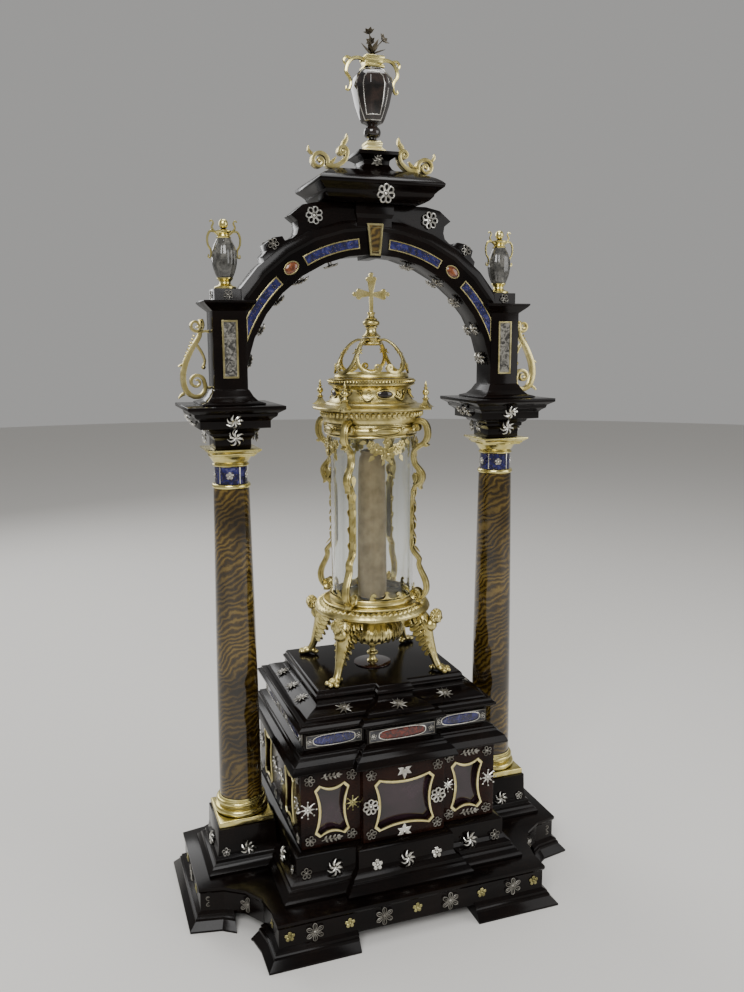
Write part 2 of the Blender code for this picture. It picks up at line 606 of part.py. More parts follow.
def shoulderOutline():
    """Silhouette on the right, from the back of the arch up over two ears to the top cornice."""
    back = ARCH_BACK - 0.001
    arc = arcPoints(back, degrees(acos(ARCH_END_X / back)), 48, 3)
    smallEar = ((0.0039, 48.9), (0.0050, 51.0), (0.0111, 51.9), (0.0114, 55.1), (0.0075, 57.9),
                (0.0027, 57.9))
    largeEar = ((0.0011, 60.4), (0.0025, 62.6), (0.0072, 64.0), (0.0136, 64.6), (0.0215, 63.4),
                (0.0255, 68.0))
    ears = []
    for stand, turn in smallEar + largeEar:
        ears += arcPoints(ARCH_BACK + stand, turn, turn, 0)
    return arc + ears + [(CORNICE_HALF_X - 0.0076, CORNICE_UNDERSIDE - SEAT_GAP)]


def buildArch():
    """Moulded arch, its two piers, the eared shoulders above it and the keystone."""
    band = [(ARCH_INNER, ARCH_HALF_DEPTH), (ARCH_BEAD - 0.003, ARCH_HALF_DEPTH),
            (ARCH_BEAD, ARCH_HALF_DEPTH + ARCH_BEAD_STAND), (ARCH_BACK, ARCH_HALF_DEPTH - 0.001)]
    band += [(radius, -depth) for radius, depth in reversed(band)]
    loops = []
    for i in range(ARCH_STEPS + 1):
        angle = pi * i / ARCH_STEPS
        loops.append([Vector((radius * cos(angle), depth, ARCH_CENTRE_Z + radius * sin(angle)))
                      for radius, depth in band])
    arch = finishObject("arch", loftMesh("arch", loops), EBONY)
    withinPiers = boxMesh("within_piers", (ARCH_END_X, 3 * PIER_HALF_DEPTH), IMPOST_TOP, CORNICE_CREST)
    addBoolean(arch, "INTERSECT", withinPiers)
    right = shoulderOutline()
    hiddenEnd = degrees(acos(ARCH_END_X / ((ARCH_INNER + ARCH_BEAD) / 2)))
    hidden = arcPoints((ARCH_INNER + ARCH_BEAD) / 2, 180 - hiddenEnd, hiddenEnd, 8)
    outline = right + [(-x, z) for x, z in reversed(right)] + hidden
    shoulders = plateMesh("shoulders", outline, 2 * SHOULDER_HALF_DEPTH, uprightFrame(0, 0))
    addBoolean(arch, "UNION", shoulders)
    low = IMPOST_TOP + SEAT_GAP
    flare = scaledProfile([(0.88, 0.0), (0.88, 0.12), (0.52, 0.24), (0.27, 0.53), (0.07, 0.93), (0.0, 1.0)],
                          PIER_HALF_WIDTH, low, low + 0.015)
    cap = scaledProfile([(0.0, 0.0), (0.45, 0.65), (0.55, 0.85), (0.55, 1.0)], PIER_HALF_WIDTH,
                        PIER_CAP_BOTTOM, PIER_CAP_TOP)
    die = [(-PIER_DIE_INSET, PIER_CAP_TOP), (-PIER_DIE_INSET, PIER_TOP)]
    for side in (-1, 1):
        plan = rectanglePlan(PIER_HALF_WIDTH, PIER_HALF_DEPTH, side * COLUMN_X)
        addBoolean(arch, "UNION", mouldedMesh("pier", plan, flare + cap + die))
    console = scaledProfile([(-0.10, 0.0), (0.0, 0.12), (0.0, 0.45), (0.10, 0.60), (0.10, 1.0)],
                            CONSOLE_HALF_Y, KEYSTONE_TOP - 0.006, CORNICE_UNDERSIDE - SEAT_GAP)
    addBoolean(arch, "UNION", mouldedMesh("console", rectanglePlan(CONSOLE_HALF_X, CONSOLE_HALF_Y), console))
    keystone = [(-KEYSTONE_HALF_BOTTOM, KEYSTONE_BOTTOM), (KEYSTONE_HALF_BOTTOM, KEYSTONE_BOTTOM),
                (KEYSTONE_HALF_TOP, KEYSTONE_TOP), (-KEYSTONE_HALF_TOP, KEYSTONE_TOP)]
    depth = 2 * (ARCH_HALF_DEPTH + KEYSTONE_STAND)
    addBoolean(arch, "UNION", plateMesh("keystone", keystone, depth, uprightFrame(0, 0)))


def buildTopCornice():
    """A broad cornice under a low roof that carries the urn's plinth."""
    plan = rectanglePlan(CORNICE_HALF_X, CORNICE_HALF_Y)
    lower = scaledProfile([(-1.0, 0.0), (-0.80, 0.10), (-0.69, 0.16), (-0.60, 0.26), (-0.50, 0.36),
                           (-0.47, 0.48), (-0.28, 0.66), (-0.15, 0.76), (-0.04, 0.84), (0.0, 1.0)], 0.0180,
                          CORNICE_UNDERSIDE, CORNICE_LIP)
    roof = scaledProfile([(-0.12, 0.22), (-0.31, 0.45), (-0.52, 0.62), (-0.75, 0.80), (-1.0, 1.0)], 0.0240,
                         CORNICE_LIP, CORNICE_CREST)
    finishObject("top_cornice", mouldedMesh("top_cornice", plan, lower + roof), EBONY)


def buildUrnPlinth():
    shares = [(-0.10, 0.0), (-0.24, 0.10), (-0.36, 0.35), (-0.34, 0.58), (-0.14, 0.74), (0.0, 0.80),
              (0.0, 1.0)]
    profile = scaledProfile(shares, URN_PLINTH_HALF, CORNICE_CREST + SEAT_GAP, URN_PLINTH_TOP)
    plan = rectanglePlan(URN_PLINTH_HALF, URN_PLINTH_HALF, URN_X)
    finishObject("urn_plinth", mouldedMesh("urn_plinth", plan, profile), EBONY)


def buildUrnFoot():
    """Square foot and turned knop."""
    axis = (URN_X, 0)
    low = URN_PLINTH_TOP + SEAT_GAP
    square = scaledProfile([(1.0, 0.0), (1.0, 0.26), (0.72, 0.42), (0.76, 0.66), (0.60, 1.0)],
                           URN_FOOT_HALF * sqrt(2), low, URN_FOOT_TOP)
    foot = finishObject("urn_foot", turnedMesh("urn_foot", square, axis, 4, start=pi / 4), GILT)
    knop = [(0.0048, URN_FOOT_TOP - 0.001)]
    knop += bead(URN_FOOT_TOP + 0.0025, URN_KNOP_TOP - 0.0030, 0.0050, 0.0088)
    knop += [(0.0078, URN_KNOP_TOP - SEAT_GAP)]
    addBoolean(foot, "UNION", turnedMesh("urn_knop", knop, axis, 10))


def buildUrnBody():
    shares = [(0.52, 0.0), (0.62, 0.08), (0.82, 0.32), (1.0, 0.66), (0.92, 0.84), (0.60, 0.97), (0.50, 1.0)]
    profile = scaledProfile(shares, URN_BODY_HALF / cos(pi / 8), URN_KNOP_TOP, URN_BODY_TOP)
    finishObject("urn_body", turnedMesh("urn_body", profile, (URN_X, 0), 8, start=pi / 8), SMOKY)


def buildUrnNeck():
    """A square cup on the urn's body, with two scroll handles."""
    low = URN_BODY_TOP + SEAT_GAP
    corner = sqrt(2)
    shares = [(1.0, 0.0), (1.0, 0.20), (0.84, 0.34), (0.86, 0.60), (1.0, 0.75), (1.0, 1.0)]
    profile = scaledProfile(shares, URN_NECK_HALF * corner, low, URN_NECK_TOP)
    profile += [(URN_NECK_BORE * corner, URN_NECK_TOP), (URN_NECK_BORE * corner, low + 0.0030)]
    neck = finishObject("urn_neck", turnedMesh("urn_neck", profile, (URN_X, 0), 4, start=pi / 4), GILT)
    rise = URN_NECK_TOP - low
    reach = 1.31 * URN_BODY_HALF
    path = [(0.80 * URN_NECK_HALF, low + 0.51 * rise), (1.4 * URN_NECK_HALF, low + 0.75 * rise),
            (0.80 * reach, low + 0.60 * rise), (reach, low), (reach, low - 0.0078),
            (0.86 * reach, low - 0.0143), (reach, low - 0.0216)]
    widths = [0.0036, 0.0036, 0.0038, 0.0038, 0.0036, 0.0034, 0.0022]
    for side in (-1, 1):
        frame = uprightFrame(URN_X, 0, side=side)
        addBoolean(neck, "UNION", strapMesh("urn_handle", path, widths, 0.0040, frame))


def buildUrnFlowers():
    """A spray of metal flowers that stands in the urn's neck."""
    stem = [(URN_NECK_BORE - 0.0013, URN_BODY_TOP + 0.0045), (URN_NECK_BORE - 0.0020, URN_NECK_TOP + 0.002),
            (0.0026, URN_NECK_TOP + 0.008),
            (0.0024, FLOWER_TOP - 0.010)]
    spray = finishObject("urn_flowers", turnedMesh("urn_flowers", stem, (URN_X, 0), 5), DARK_METAL)
    blooms = ((-0.0025, -0.0010, FLOWER_TOP - 0.0045, 0.0062), (0.0060, -0.0015, FLOWER_TOP - 0.0095, 0.0056),
              (0.0005, 0.0045, FLOWER_TOP - 0.0120, 0.0054))
    for dx, dy, height, radius in blooms:
        cup = [(0.30 * radius, height - 0.85 * radius), (radius, height - 0.20 * radius),
               (0.45 * radius, height + 0.70 * radius)]
        addBoolean(spray, "UNION", turnedMesh("bloom", cup, (URN_X + dx, dy), 6))
    for heading, reach, drop in ((-20, 0.0180, 0.0180), (70, 0.0140, 0.0140), (160, 0.0170, 0.0190)):
        tip = FLOWER_TOP - drop
        path = [(0.0010, URN_NECK_TOP + 0.0050), (0.6 * reach, tip + 0.0045), (reach, tip)]
        frame = uprightFrame(URN_X, 0, heading)
        addBoolean(spray, "UNION", strapMesh("leaf", path, [0.0024, 0.0026, 0.0010], 0.0046, frame))


def buildSideUrn(side, label):
    """Gilt foot, lobed stone body, and a gilt top with a ball and two thin handles."""
    axis = (side * COLUMN_X, 0)
    shares = [(0.88, 0.0), (0.88, 0.22), (0.46, 0.55), (0.46, 0.75), (0.64, 1.0)]
    foot = scaledProfile(shares, SIDE_URN_RADIUS, PIER_TOP + SEAT_GAP, SIDE_URN_FOOT_TOP - SEAT_GAP)
    name = "side_urn_foot_" + label
    finishObject(name, turnedMesh(name, foot, axis, 8), GILT, smooth=True)
    lobes = 14
    shares = [(0.62, 0.0), (0.88, 0.22), (1.0, 0.48), (0.86, 0.72), (0.56, 1.0)]
    loops = []
    for reach, height in scaledProfile(shares, SIDE_URN_RADIUS, SIDE_URN_FOOT_TOP, SIDE_URN_BODY_TOP):
        ring = []
        for i in range(lobes):
            radius = reach * (1 if i % 2 else 0.92)
            angle = 2 * pi * i / lobes
            ring.append(Vector((axis[0] + radius * cos(angle), radius * sin(angle), height)))
        loops.append(ring)
    name = "side_urn_body_" + label
    finishObject(name, loftMesh(name, loops), AGATE)
    low = SIDE_URN_BODY_TOP + SEAT_GAP
    lip = scaledProfile([(0.56, 0.0), (0.46, 0.25), (0.66, 0.70), (0.66, 0.88), (0.24, 1.0)], SIDE_URN_RADIUS,
                        low, low + 0.008)
    ball = bead(low + 0.0090, SIDE_URN_BALL_TOP, 0.0018, 0.0046)
    name = "side_urn_top_" + label
    top = finishObject(name, turnedMesh(name, lip + ball, axis, 8), GILT, smooth=True)
    path = [(0.0045, low + 0.0030), (0.0130, low + 0.0030), (0.0160, low - 0.0070), (0.0155, low - 0.0190)]
    for hand in (-1, 1):
        frame = uprightFrame(axis[0], 0, side=hand)
        addBoolean(top, "UNION", strapMesh("side_handle", path, [0.0022] * 4, 0.0022, frame))


def buildCorniceScroll(side, label):
    """An S-scroll with two volutes and a flame, which leans on the urn's plinth."""
    frame = uprightFrame(0, CORNICE_SCROLL_Y, side=side)
    low = CORNICE_LIP + 0.0085
    radius = CORNICE_SCROLL_RADIUS
    large = volute((CORNICE_SCROLL_X, low + 1.2 * radius), radius, 200, -1.0, 8)
    large.reverse()
    eye = URN_PLINTH_HALF + 0.0115
    small = volute((eye, low + 0.0215), 0.5 * radius, 195, -0.8, 5, inner=0.45)
    dip = CORNICE_CREST + SEAT_GAP + 0.0019
    leaf = CORNICE_SCROLL_X - 1.32 * radius
    path = large + [(leaf, dip + 0.0008), (eye + 0.0055, dip), (eye - 0.0015, dip + 0.0050)] + small
    widths = [0.0030] * len(large) + [0.0044, 0.0038, 0.0034] + [0.0026] * len(small)
    name = "cornice_scroll_" + label
    scroll = finishObject(name, strapMesh(name, path, widths, 0.0070, frame), GILT)
    flame = [(eye, low + 0.0250), (eye - 0.0035, low + 0.0310), (eye - 0.0060, low + 0.0395)]
    addBoolean(scroll, "UNION", strapMesh("scroll_flame", flame, [0.0044, 0.0044, 0.0012], 0.0050, frame))


def buildPierScroll(side, label):
    """An openwork S-scroll pinned to the outer face of the pier."""
    frame = uprightFrame(side * (COLUMN_X + PIER_HALF_WIDTH), 0, side=side)
    low, high = PIER_SCROLL_BOTTOM, PIER_SCROLL_TOP
    middle = (low + high) / 2
    upper = volute((0.0140, high), 0.0068, 200, -0.95, 6)
    upper.reverse()
    lower = volute((0.0150, low), 0.0072, 165, -0.8, 5)
    spine = [(0.0080, high - 0.0105), (0.0150, middle), (0.0245, low + 0.0130), (0.0270, low),
             (0.0240, low - 0.0105), (0.0155, low - 0.0145), (0.0085, low - 0.0105), (0.0062, low - 0.0035)]
    path = upper + spine + lower
    widths = [0.0026] * len(upper) + [0.0036, 0.0044, 0.0048, 0.0048, 0.0044, 0.0038, 0.0034, 0.0030]
    widths += [0.0026] * len(lower)
    name = "pier_scroll_" + label
    scroll = finishObject(name, strapMesh(name, path, widths, 0.0055, frame), GILT)
    spurs = ((SEAT_GAP, high - 0.0070, 0.0080, high - 0.0070), (SEAT_GAP, low - 0.0040, 0.0062, low - 0.0040),
             (0.0235, low + 0.0150, 0.0320, low + 0.0165), (0.0240, low - 0.0105, 0.0330, low - 0.0150),
             (0.0140, middle - 0.0013, 0.0070, middle - 0.0128))
    for i, (u, v, endU, endV) in enumerate(spurs):
        tip = 0.0030 if i < 2 else 0.0010
        spur = strapMesh("scroll_spur", [(u, v), (endU, endV)], [0.0036, tip], 0.0044, frame)
        addBoolean(scroll, "UNION", spur)


def buildStemDisc():
    low = LID_TOP + SEAT_GAP
    profile = [(DISC_RADIUS, low), (DISC_RADIUS, low + DISC_HEIGHT)]
    mesh = turnedMesh("stem_disc", profile, (0, OSTENSORY_Y), OSTENSORY_SIDES)
    finishObject("stem_disc", mesh, JASPER, smooth=True)


def buildOstensoryBase():
    """Stem, foliate bowl and gadrooned plate, with a low gallery round the foot of the glass."""
    low = LID_TOP + DISC_HEIGHT + 2 * SEAT_GAP
    stem = scaledProfile([(0.17, 0.0), (0.12, 0.18), (0.11, 0.36), (0.18, 0.48), (0.15, 0.95)], BOWL_RADIUS,
                         low, BOWL_BOTTOM)
    bowl = scaledProfile([(0.55, 0.0), (0.58, 0.06), (0.80, 0.14), (1.0, 0.36), (0.95, 0.58), (0.76, 0.72),
                          (0.80, 0.90)], BOWL_RADIUS, BOWL_BOTTOM, PLATE_UNDERSIDE)
    plate = scaledProfile([(0.97, 0.0), (1.0, 0.25), (0.86, 0.68), (0.84, 0.92), (0.76, 1.0)], PLATE_RADIUS,
                          PLATE_UNDERSIDE, PLATE_TOP)
    bore = GLASS_RADIUS + SEAT_GAP
    gallery = [(bore + GALLERY_WALL, PLATE_TOP), (bore + GALLERY_WALL, PLATE_TOP + GALLERY_HEIGHT),
               (bore, PLATE_TOP + GALLERY_HEIGHT), (bore, PLATE_TOP)]
    mesh = turnedMesh("ostensory_base", stem + bowl + plate + gallery, (0, OSTENSORY_Y), OSTENSORY_SIDES)
    finishObject("ostensory_base", mesh, GILT, smooth=True)


def buildGlass():
    low = PLATE_TOP + SEAT_GAP
    inner = GLASS_RADIUS - GLASS_WALL
    profile = [(GLASS_RADIUS, low), (GLASS_RADIUS, GLASS_TOP), (inner, GLASS_TOP), (inner, low)]
    mesh = turnedMesh("glass_cylinder", profile, (0, OSTENSORY_Y), OSTENSORY_SIDES, ring=True)
    finishObject("glass_cylinder", mesh, GLASS, smooth=True)


def buildRelic():
    """A bundle wrapped in pale cloth, standing in the glass."""
    shares = [(0.90, 0.0), (1.0, 0.05), (1.0, 0.45), (0.94, 0.82), (0.68, 0.93), (0.72, 0.98), (0.40, 1.0)]
    profile = scaledProfile(shares, RELIC_RADIUS, PLATE_TOP + SEAT_GAP, RELIC_TOP)
    finishObject("relic", turnedMesh("relic", profile, (0, OSTENSORY_Y), 12), CLOTH, smooth=True)


def buildBracket(heading, label):
    """An openwork scroll bracket beside the glass, from the plate up to the canopy."""
    frame = uprightFrame(0, OSTENSORY_Y, heading)
    low = PLATE_TOP + SEAT_GAP
    near, base, top = GLASS_RADIUS, PLATE_TOP, GLASS_TOP
    foot = [(near + 0.0050, base + 0.0115), (near + 0.0060, base + 0.0050), (near + 0.0120, base + 0.0030),
            (near + 0.0180, base + 0.0085), (near + 0.0205, base + 0.0205), (near + 0.0170, base + 0.0345),
            (near + 0.0100, base + 0.0475)]
    middle = [(near + 0.0048, base + 0.0595), (near + 0.0040, (base + top) / 2),
              (near + 0.0044, top - 0.0650), (near + 0.0095, top - 0.0490)]
    head = [(near + 0.0055, top - 0.0330), (near + 0.0060, top - 0.0200), (near + 0.0140, top - 0.0090),
            (near + 0.0180, top + 0.0010), (near + 0.0140, top + 0.0095)]
    path = foot + middle + head
    widths = [0.0036, 0.0040, 0.0052, 0.0058, 0.0056, 0.0052, 0.0048, 0.0040, 0.0034, 0.0046, 0.0066, 0.0056,
              0.0060, 0.0060, 0.0054, 0.0044]
    name = "bracket_" + label
    bracket = finishObject(name, strapMesh(name, path, widths, BRACKET_THICKNESS, frame), GILT)
    heel = strapMesh("bracket_heel", [(near + 0.0120, low), (near + 0.0120, base + 0.0035)], [0.0060, 0.0060],
                     0.8 * BRACKET_THICKNESS, frame)
    addBoolean(bracket, "UNION", heel)
    leaf = strapMesh("bracket_leaf", [(near + 0.0060, base + 0.0570), (near + 0.0140, base + 0.0530)],
                     [0.0070, 0.0016],
                     0.7 * BRACKET_THICKNESS, frame)
    addBoolean(bracket, "UNION", leaf)


def buildLeg(heading, label):
    """A winged bust on a feathered leg that ends in a claw with three toes."""
    frame = uprightFrame(0, OSTENSORY_Y, heading)
    under = PLATE_UNDERSIDE - SEAT_GAP
    floor = LID_TOP + SEAT_GAP
    height = under - floor
    rim = PLATE_RADIUS
    name = "leg_" + label
    path = [(rim - 0.0070, under - 0.0010), (rim - 0.0030, floor + 0.739 * height),
            (rim + 0.0020, floor + 0.504 * height), (rim + 0.0070, floor + 0.285 * height),
            (LEG_REACH, floor + 0.066 * height)]
    leg = finishObject(name, strapMesh(name, path, [0.0120, 0.0190, 0.0140, 0.0090, 0.0070], 0.0130, frame),
                       GILT)
    chest = strapMesh("chest", [(rim - 0.0030, under - 0.0167), (rim + 0.0070, under - 0.0117),
                                (rim + 0.0090, under - 0.0057)], [0.0130, 0.0130, 0.0080], 0.0160, frame)
    addBoolean(leg, "UNION", chest)
    centre = frame @ Vector((rim + 0.0100, 0, 0))
    head = [(0.0040, under - 0.0077), (0.0076, under - 0.0012), (0.0040, under + 0.0073)]
    addBoolean(leg, "UNION", turnedMesh("head", head, centre.xy, 7))
    for hand in (-1, 1):
        place = frame @ Matrix.Translation((0, 0, hand * 0.0085))
        wing = strapMesh("wing", [(rim - 0.0055, under - 0.0087), (rim - 0.0020, under - 0.0347)],
                         [0.0130, 0.0040], 0.0060, place)
        addBoolean(leg, "UNION", wing)
    ankle = frame @ Vector((LEG_REACH, 0, 0))
    pad = [(0.0042, floor + 0.0004), (0.0052, floor + 0.0035), (0.0036, floor + 0.0078)]
    addBoolean(leg, "UNION", turnedMesh("ankle", pad, ankle.xy, 7))
    for spread, instep, length in ((-30, 0.0033, 0.0150), (0, 0.0037, 0.0165), (30, 0.0035, 0.0150),
                                   (180, 0.0031, 0.0090)):
        turn = Matrix.Rotation(radians(spread), 4, "Y")
        place = frame @ Matrix.Translation((LEG_REACH, floor, 0)) @ turn
        toe = strapMesh("toe", [(0.0010, instep), (length, 0.0010)], [1.8 * instep, 0.0016], 0.0050, place)
        addBoolean(leg, "UNION", toe)


def buildCanopy():
    """Collar over the glass, coved platform with four finials, drum and cornice."""
    axis = (0, OSTENSORY_Y)
    bore = GLASS_RADIUS + SEAT_GAP
    seat = GLASS_TOP + SEAT_GAP
    inner = [(GLASS_RADIUS - 0.0060, seat), (bore, seat), (bore, CANOPY_BOTTOM)]
    collar = bead(CANOPY_BOTTOM, CANOPY_BOTTOM + 0.0120, GLASS_RADIUS + 0.0030, GLASS_RADIUS + 0.0055, 2)
    cove = scaledProfile([(0.83, 0.0), (0.83, 0.35), (0.96, 0.80), (1.0, 0.90), (1.0, 1.0)], PLATFORM_RADIUS,
                         CANOPY_BOTTOM + 0.0140, PLATFORM_TOP)
    drum = scaledProfile([(1.18, 0.10), (1.02, 0.42), (1.0, 1.0)], DRUM_RADIUS, PLATFORM_TOP, DRUM_TOP)
    cornice = scaledProfile([(1.16, 0.22), (1.16, 0.60), (1.0, 1.0)], DRUM_RADIUS, DRUM_TOP, CANOPY_TOP)
    mesh = turnedMesh("canopy", inner + collar + cove + drum + cornice, axis, OSTENSORY_SIDES)
    canopy = finishObject("canopy", mesh, GILT, smooth=True)
    spindle = [(0.0040, PLATFORM_TOP - 0.0030), (0.0030, PLATFORM_TOP + 0.0075),
               (0.0044, PLATFORM_TOP + 0.0130), (0.0018, PLATFORM_TOP + 0.0170),
               (0.0010, PLATFORM_TOP + 0.0260)]
    for heading in DIAGONALS.values():
        frame = uprightFrame(0, OSTENSORY_Y, heading)
        place = frame @ Vector((FINIAL_REACH, 0, 0))
        addBoolean(canopy, "UNION", turnedMesh("finial", spindle, place.xy, 6))
        corner = [(PLATFORM_RADIUS - 0.0185, PLATFORM_TOP + 0.0010),
                  (PLATFORM_RADIUS - 0.0065, PLATFORM_TOP + 0.0012),
                  (PLATFORM_RADIUS + 0.0045, PLATFORM_TOP - 0.0016)]
        addBoolean(canopy, "UNION", strapMesh("corner", corner, [0.0050, 0.0060, 0.0010], 0.0070, frame))


def buildCrown():
    """Openwork dome: a ring, four ribs that fork below, and a collar."""
    axis = (0, OSTENSORY_Y)
    low = CANOPY_TOP + SEAT_GAP
    width = 0.0035
    ring = [(CROWN_RADIUS, low), (CROWN_RADIUS, low + width), (CROWN_RADIUS - width, low + width),
            (CROWN_RADIUS - width, low)]
    mesh = turnedMesh("crown", ring, axis, OSTENSORY_SIDES, ring=True)
    crown = finishObject("crown", mesh, GILT, smooth=True)
    collar = [(0.0100, CROWN_TOP - 0.0080), (0.0112, CROWN_TOP - 0.0045), (0.0085, CROWN_TOP)]
    addBoolean(crown, "UNION", turnedMesh("crown_collar", collar, axis, 12))
    for heading in DIAGONALS.values():
        frame = uprightFrame(0, OSTENSORY_Y, heading)
        rib = [(0.0070, CROWN_TOP - 0.0045), (0.53 * CROWN_RADIUS, CROWN_TOP - 0.0065),
               (0.77 * CROWN_RADIUS, CROWN_TOP - 0.0130), (0.92 * CROWN_RADIUS, CROWN_TOP - 0.0215)]
        addBoolean(crown, "UNION", strapMesh("rib", rib, [0.0034] * 4, 0.0050, frame))
        for fork in (-1, 1):
            outward = Matrix.Translation((CROWN_RADIUS - width / 2, 0, 0))
            leans = outward @ Matrix.Rotation(radians(90), 4, "Y")
            strut = [(0.0, CROWN_TOP - 0.0200), (-fork * 0.0060, CROWN_TOP - 0.0270),
                     (-fork * 0.0125, low + 0.4 * width)]
            addBoolean(crown, "UNION", strapMesh("fork", strut, [0.0034] * 3, 0.0030, frame @ leans))


def crossOutline():
    """Front outline of a cross whose upper three ends are budded with three round lobes."""
    half = CROSS_ARM_WIDTH / 2
    centres = ((-2.6, 1.15, 130), (-1.0, 0.0, 75), (-2.6, -1.15, 0))
    bud = []
    for inward, aside, start in reversed(centres):
        for turn in (-130, -75, -20, 35):
            angle = radians(start + turn)
            bud.append((LOBE_RADIUS * (inward + cos(angle)), LOBE_RADIUS * (aside + sin(angle))))
    outline = [(-half, KNOB_TOP - half), (half, KNOB_TOP - half)]
    reaches = ((0, CROSS_ARM_HALF), (90, CROSS_TOP - CROSS_ARM_Z), (180, CROSS_ARM_HALF))
    for heading, reach in reaches:
        c, s = cos(radians(heading)), sin(radians(heading))
        corner = (half * (c + s), half * (s - c))
        outline.append((corner[0], CROSS_ARM_Z + corner[1]))
        for along, across in bud:
            outline.append(((reach + along) * c - across * s, CROSS_ARM_Z + (reach + along) * s + across * c))
    outline.append((-half, CROSS_ARM_Z - half))
    return outline


def buildCross():
    """Turned knob under a cross with budded ends."""
    axis = (0, OSTENSORY_Y)
    shares = [(1.1, 0.0), (0.56, 0.14), (0.56, 0.36), (1.0, 0.54), (0.60, 0.68), (0.34, 0.82), (0.48, 0.92),
              (0.26, 1.0)]
    profile = scaledProfile(shares, KNOB_RADIUS, CROWN_TOP + SEAT_GAP, KNOB_TOP)
    cross = finishObject("cross", turnedMesh("cross", profile, axis, 10), GILT, smooth=True)
    plate = plateMesh("cross_plate", crossOutline(), CROSS_THICKNESS, uprightFrame(*axis))
    addBoolean(cross, "UNION", plate)


buildBasePlinth()
buildCasketPlinth()
buildCasketBody()
buildWindowPanes()
buildCasketCornice()
buildCasketLid()
for sign, hand in ((-1, "left"), (1, "right")):
    buildColumnBase(sign, hand)
    buildColumnShaft(sign, hand)
    buildColumnTop(sign, hand)
    buildImpost(sign, hand)
    buildSideUrn(sign, hand)
    buildCorniceScroll(sign, hand)
    buildPierScroll(sign, hand)
buildArch()
buildTopCornice()
buildUrnPlinth()
buildUrnFoot()
buildUrnBody()
buildUrnNeck()
buildUrnFlowers()
buildStemDisc()
buildOstensoryBase()
buildGlass()
buildRelic()
for corner, angle in DIAGONALS.items():
    buildBracket(angle, corner)
    swing = LEG_SWING if corner in ("front_right", "back_left") else -LEG_SWING
    buildLeg(angle + swing, corner)
buildCanopy()
buildCrown()
buildCross()
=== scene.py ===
import math
import bpy
from mathutils import Matrix, Vector


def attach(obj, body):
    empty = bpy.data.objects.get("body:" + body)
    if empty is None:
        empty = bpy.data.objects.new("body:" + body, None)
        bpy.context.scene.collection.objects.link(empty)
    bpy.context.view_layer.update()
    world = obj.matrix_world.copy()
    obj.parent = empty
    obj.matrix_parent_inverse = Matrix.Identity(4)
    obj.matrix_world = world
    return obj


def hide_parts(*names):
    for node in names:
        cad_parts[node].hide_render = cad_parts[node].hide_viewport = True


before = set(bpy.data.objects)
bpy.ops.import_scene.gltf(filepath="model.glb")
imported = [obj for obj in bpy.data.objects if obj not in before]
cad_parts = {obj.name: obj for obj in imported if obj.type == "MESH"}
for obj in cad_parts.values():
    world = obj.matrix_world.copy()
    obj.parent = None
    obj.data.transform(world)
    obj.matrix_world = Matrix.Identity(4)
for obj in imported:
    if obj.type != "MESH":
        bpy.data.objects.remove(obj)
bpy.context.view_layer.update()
mm = 0.001


# the tools of the bench
def toLinear(hexColour):
    # an sRGB hex value as the linear colour the shader wants
    parts = [int(hexColour[i:i + 2], 16) / 255 for i in (0, 2, 4)]
    return [c / 12.92 if c <= 0.04045 else ((c + 0.055) / 1.055) ** 2.4 for c in parts] + [1]


def addNode(tree, kind, settings=None, links=None):
    # one node with its settings and links; "stops" are the colours along a ramp
    node = tree.nodes.new("ShaderNode" + kind)
    for name, value in (settings or {}).items():
        if name == "stops":
            ramp = node.color_ramp
            while len(ramp.elements) < len(value):
                ramp.elements.new(0.5)
            for element, (position, colour) in zip(ramp.elements, value):
                element.position = position
                element.color = toLinear(colour) if isinstance(colour, str) else (colour, colour, colour, 1)
        elif isinstance(name, str) and hasattr(node, name):
            setattr(node, name, value)
        else:
            node.inputs[name].default_value = value
    for name, socket in (links or {}).items():
        tree.links.new(socket, node.inputs[name])
    return node


def newMaterial(name, settings):
    # a principled shader with the values that are the same all over the surface
    material = bpy.data.materials.new(name)
    material.use_nodes = True
    tree = material.node_tree
    shader = tree.nodes["Principled BSDF"]
    for socket, value in settings.items():
        shader.inputs[socket].default_value = toLinear(value) if isinstance(value, str) else value
    return material, tree, shader


def leaveEdit():
    bpy.ops.object.mode_set(mode="OBJECT")


def pickNothing():
    if bpy.context.object and bpy.context.object.mode != "OBJECT":
        leaveEdit()
    bpy.ops.object.select_all(action="DESELECT")


def pick(piece, *others):
    pickNothing()
    for each in (*others, piece):
        each.select_set(True)
    bpy.context.view_layer.objects.active = piece


def editVerts(piece, test):
    # into edit mode with the vertices that pass the test selected
    pick(piece)
    bpy.context.tool_settings.mesh_select_mode = (True, False, False)
    mesh = piece.data
    for items in (mesh.polygons, mesh.edges):
        items.foreach_set("select", [False] * len(items))
    mesh.vertices.foreach_set("select", [bool(test(v.co / mm)) for v in mesh.vertices])
    bpy.ops.object.mode_set(mode="EDIT")
    bpy.ops.mesh.select_mode(type="VERT")


def tidyMesh(piece, merge=0.01):
    # doubles merged and faces turned outward
    editVerts(piece, lambda spot: True)
    bpy.ops.mesh.remove_doubles(threshold=merge * mm)
    bpy.ops.mesh.normals_make_consistent(inside=False)
    leaveEdit()
    return piece


def applied(piece, kind, **settings):
    # one modifier, set and applied
    pick(piece)
    modifier = piece.modifiers.new(kind.title(), kind)
    for name, value in settings.items():
        setattr(modifier, name, value)
    bpy.ops.object.modifier_apply(modifier=modifier.name)
    return piece


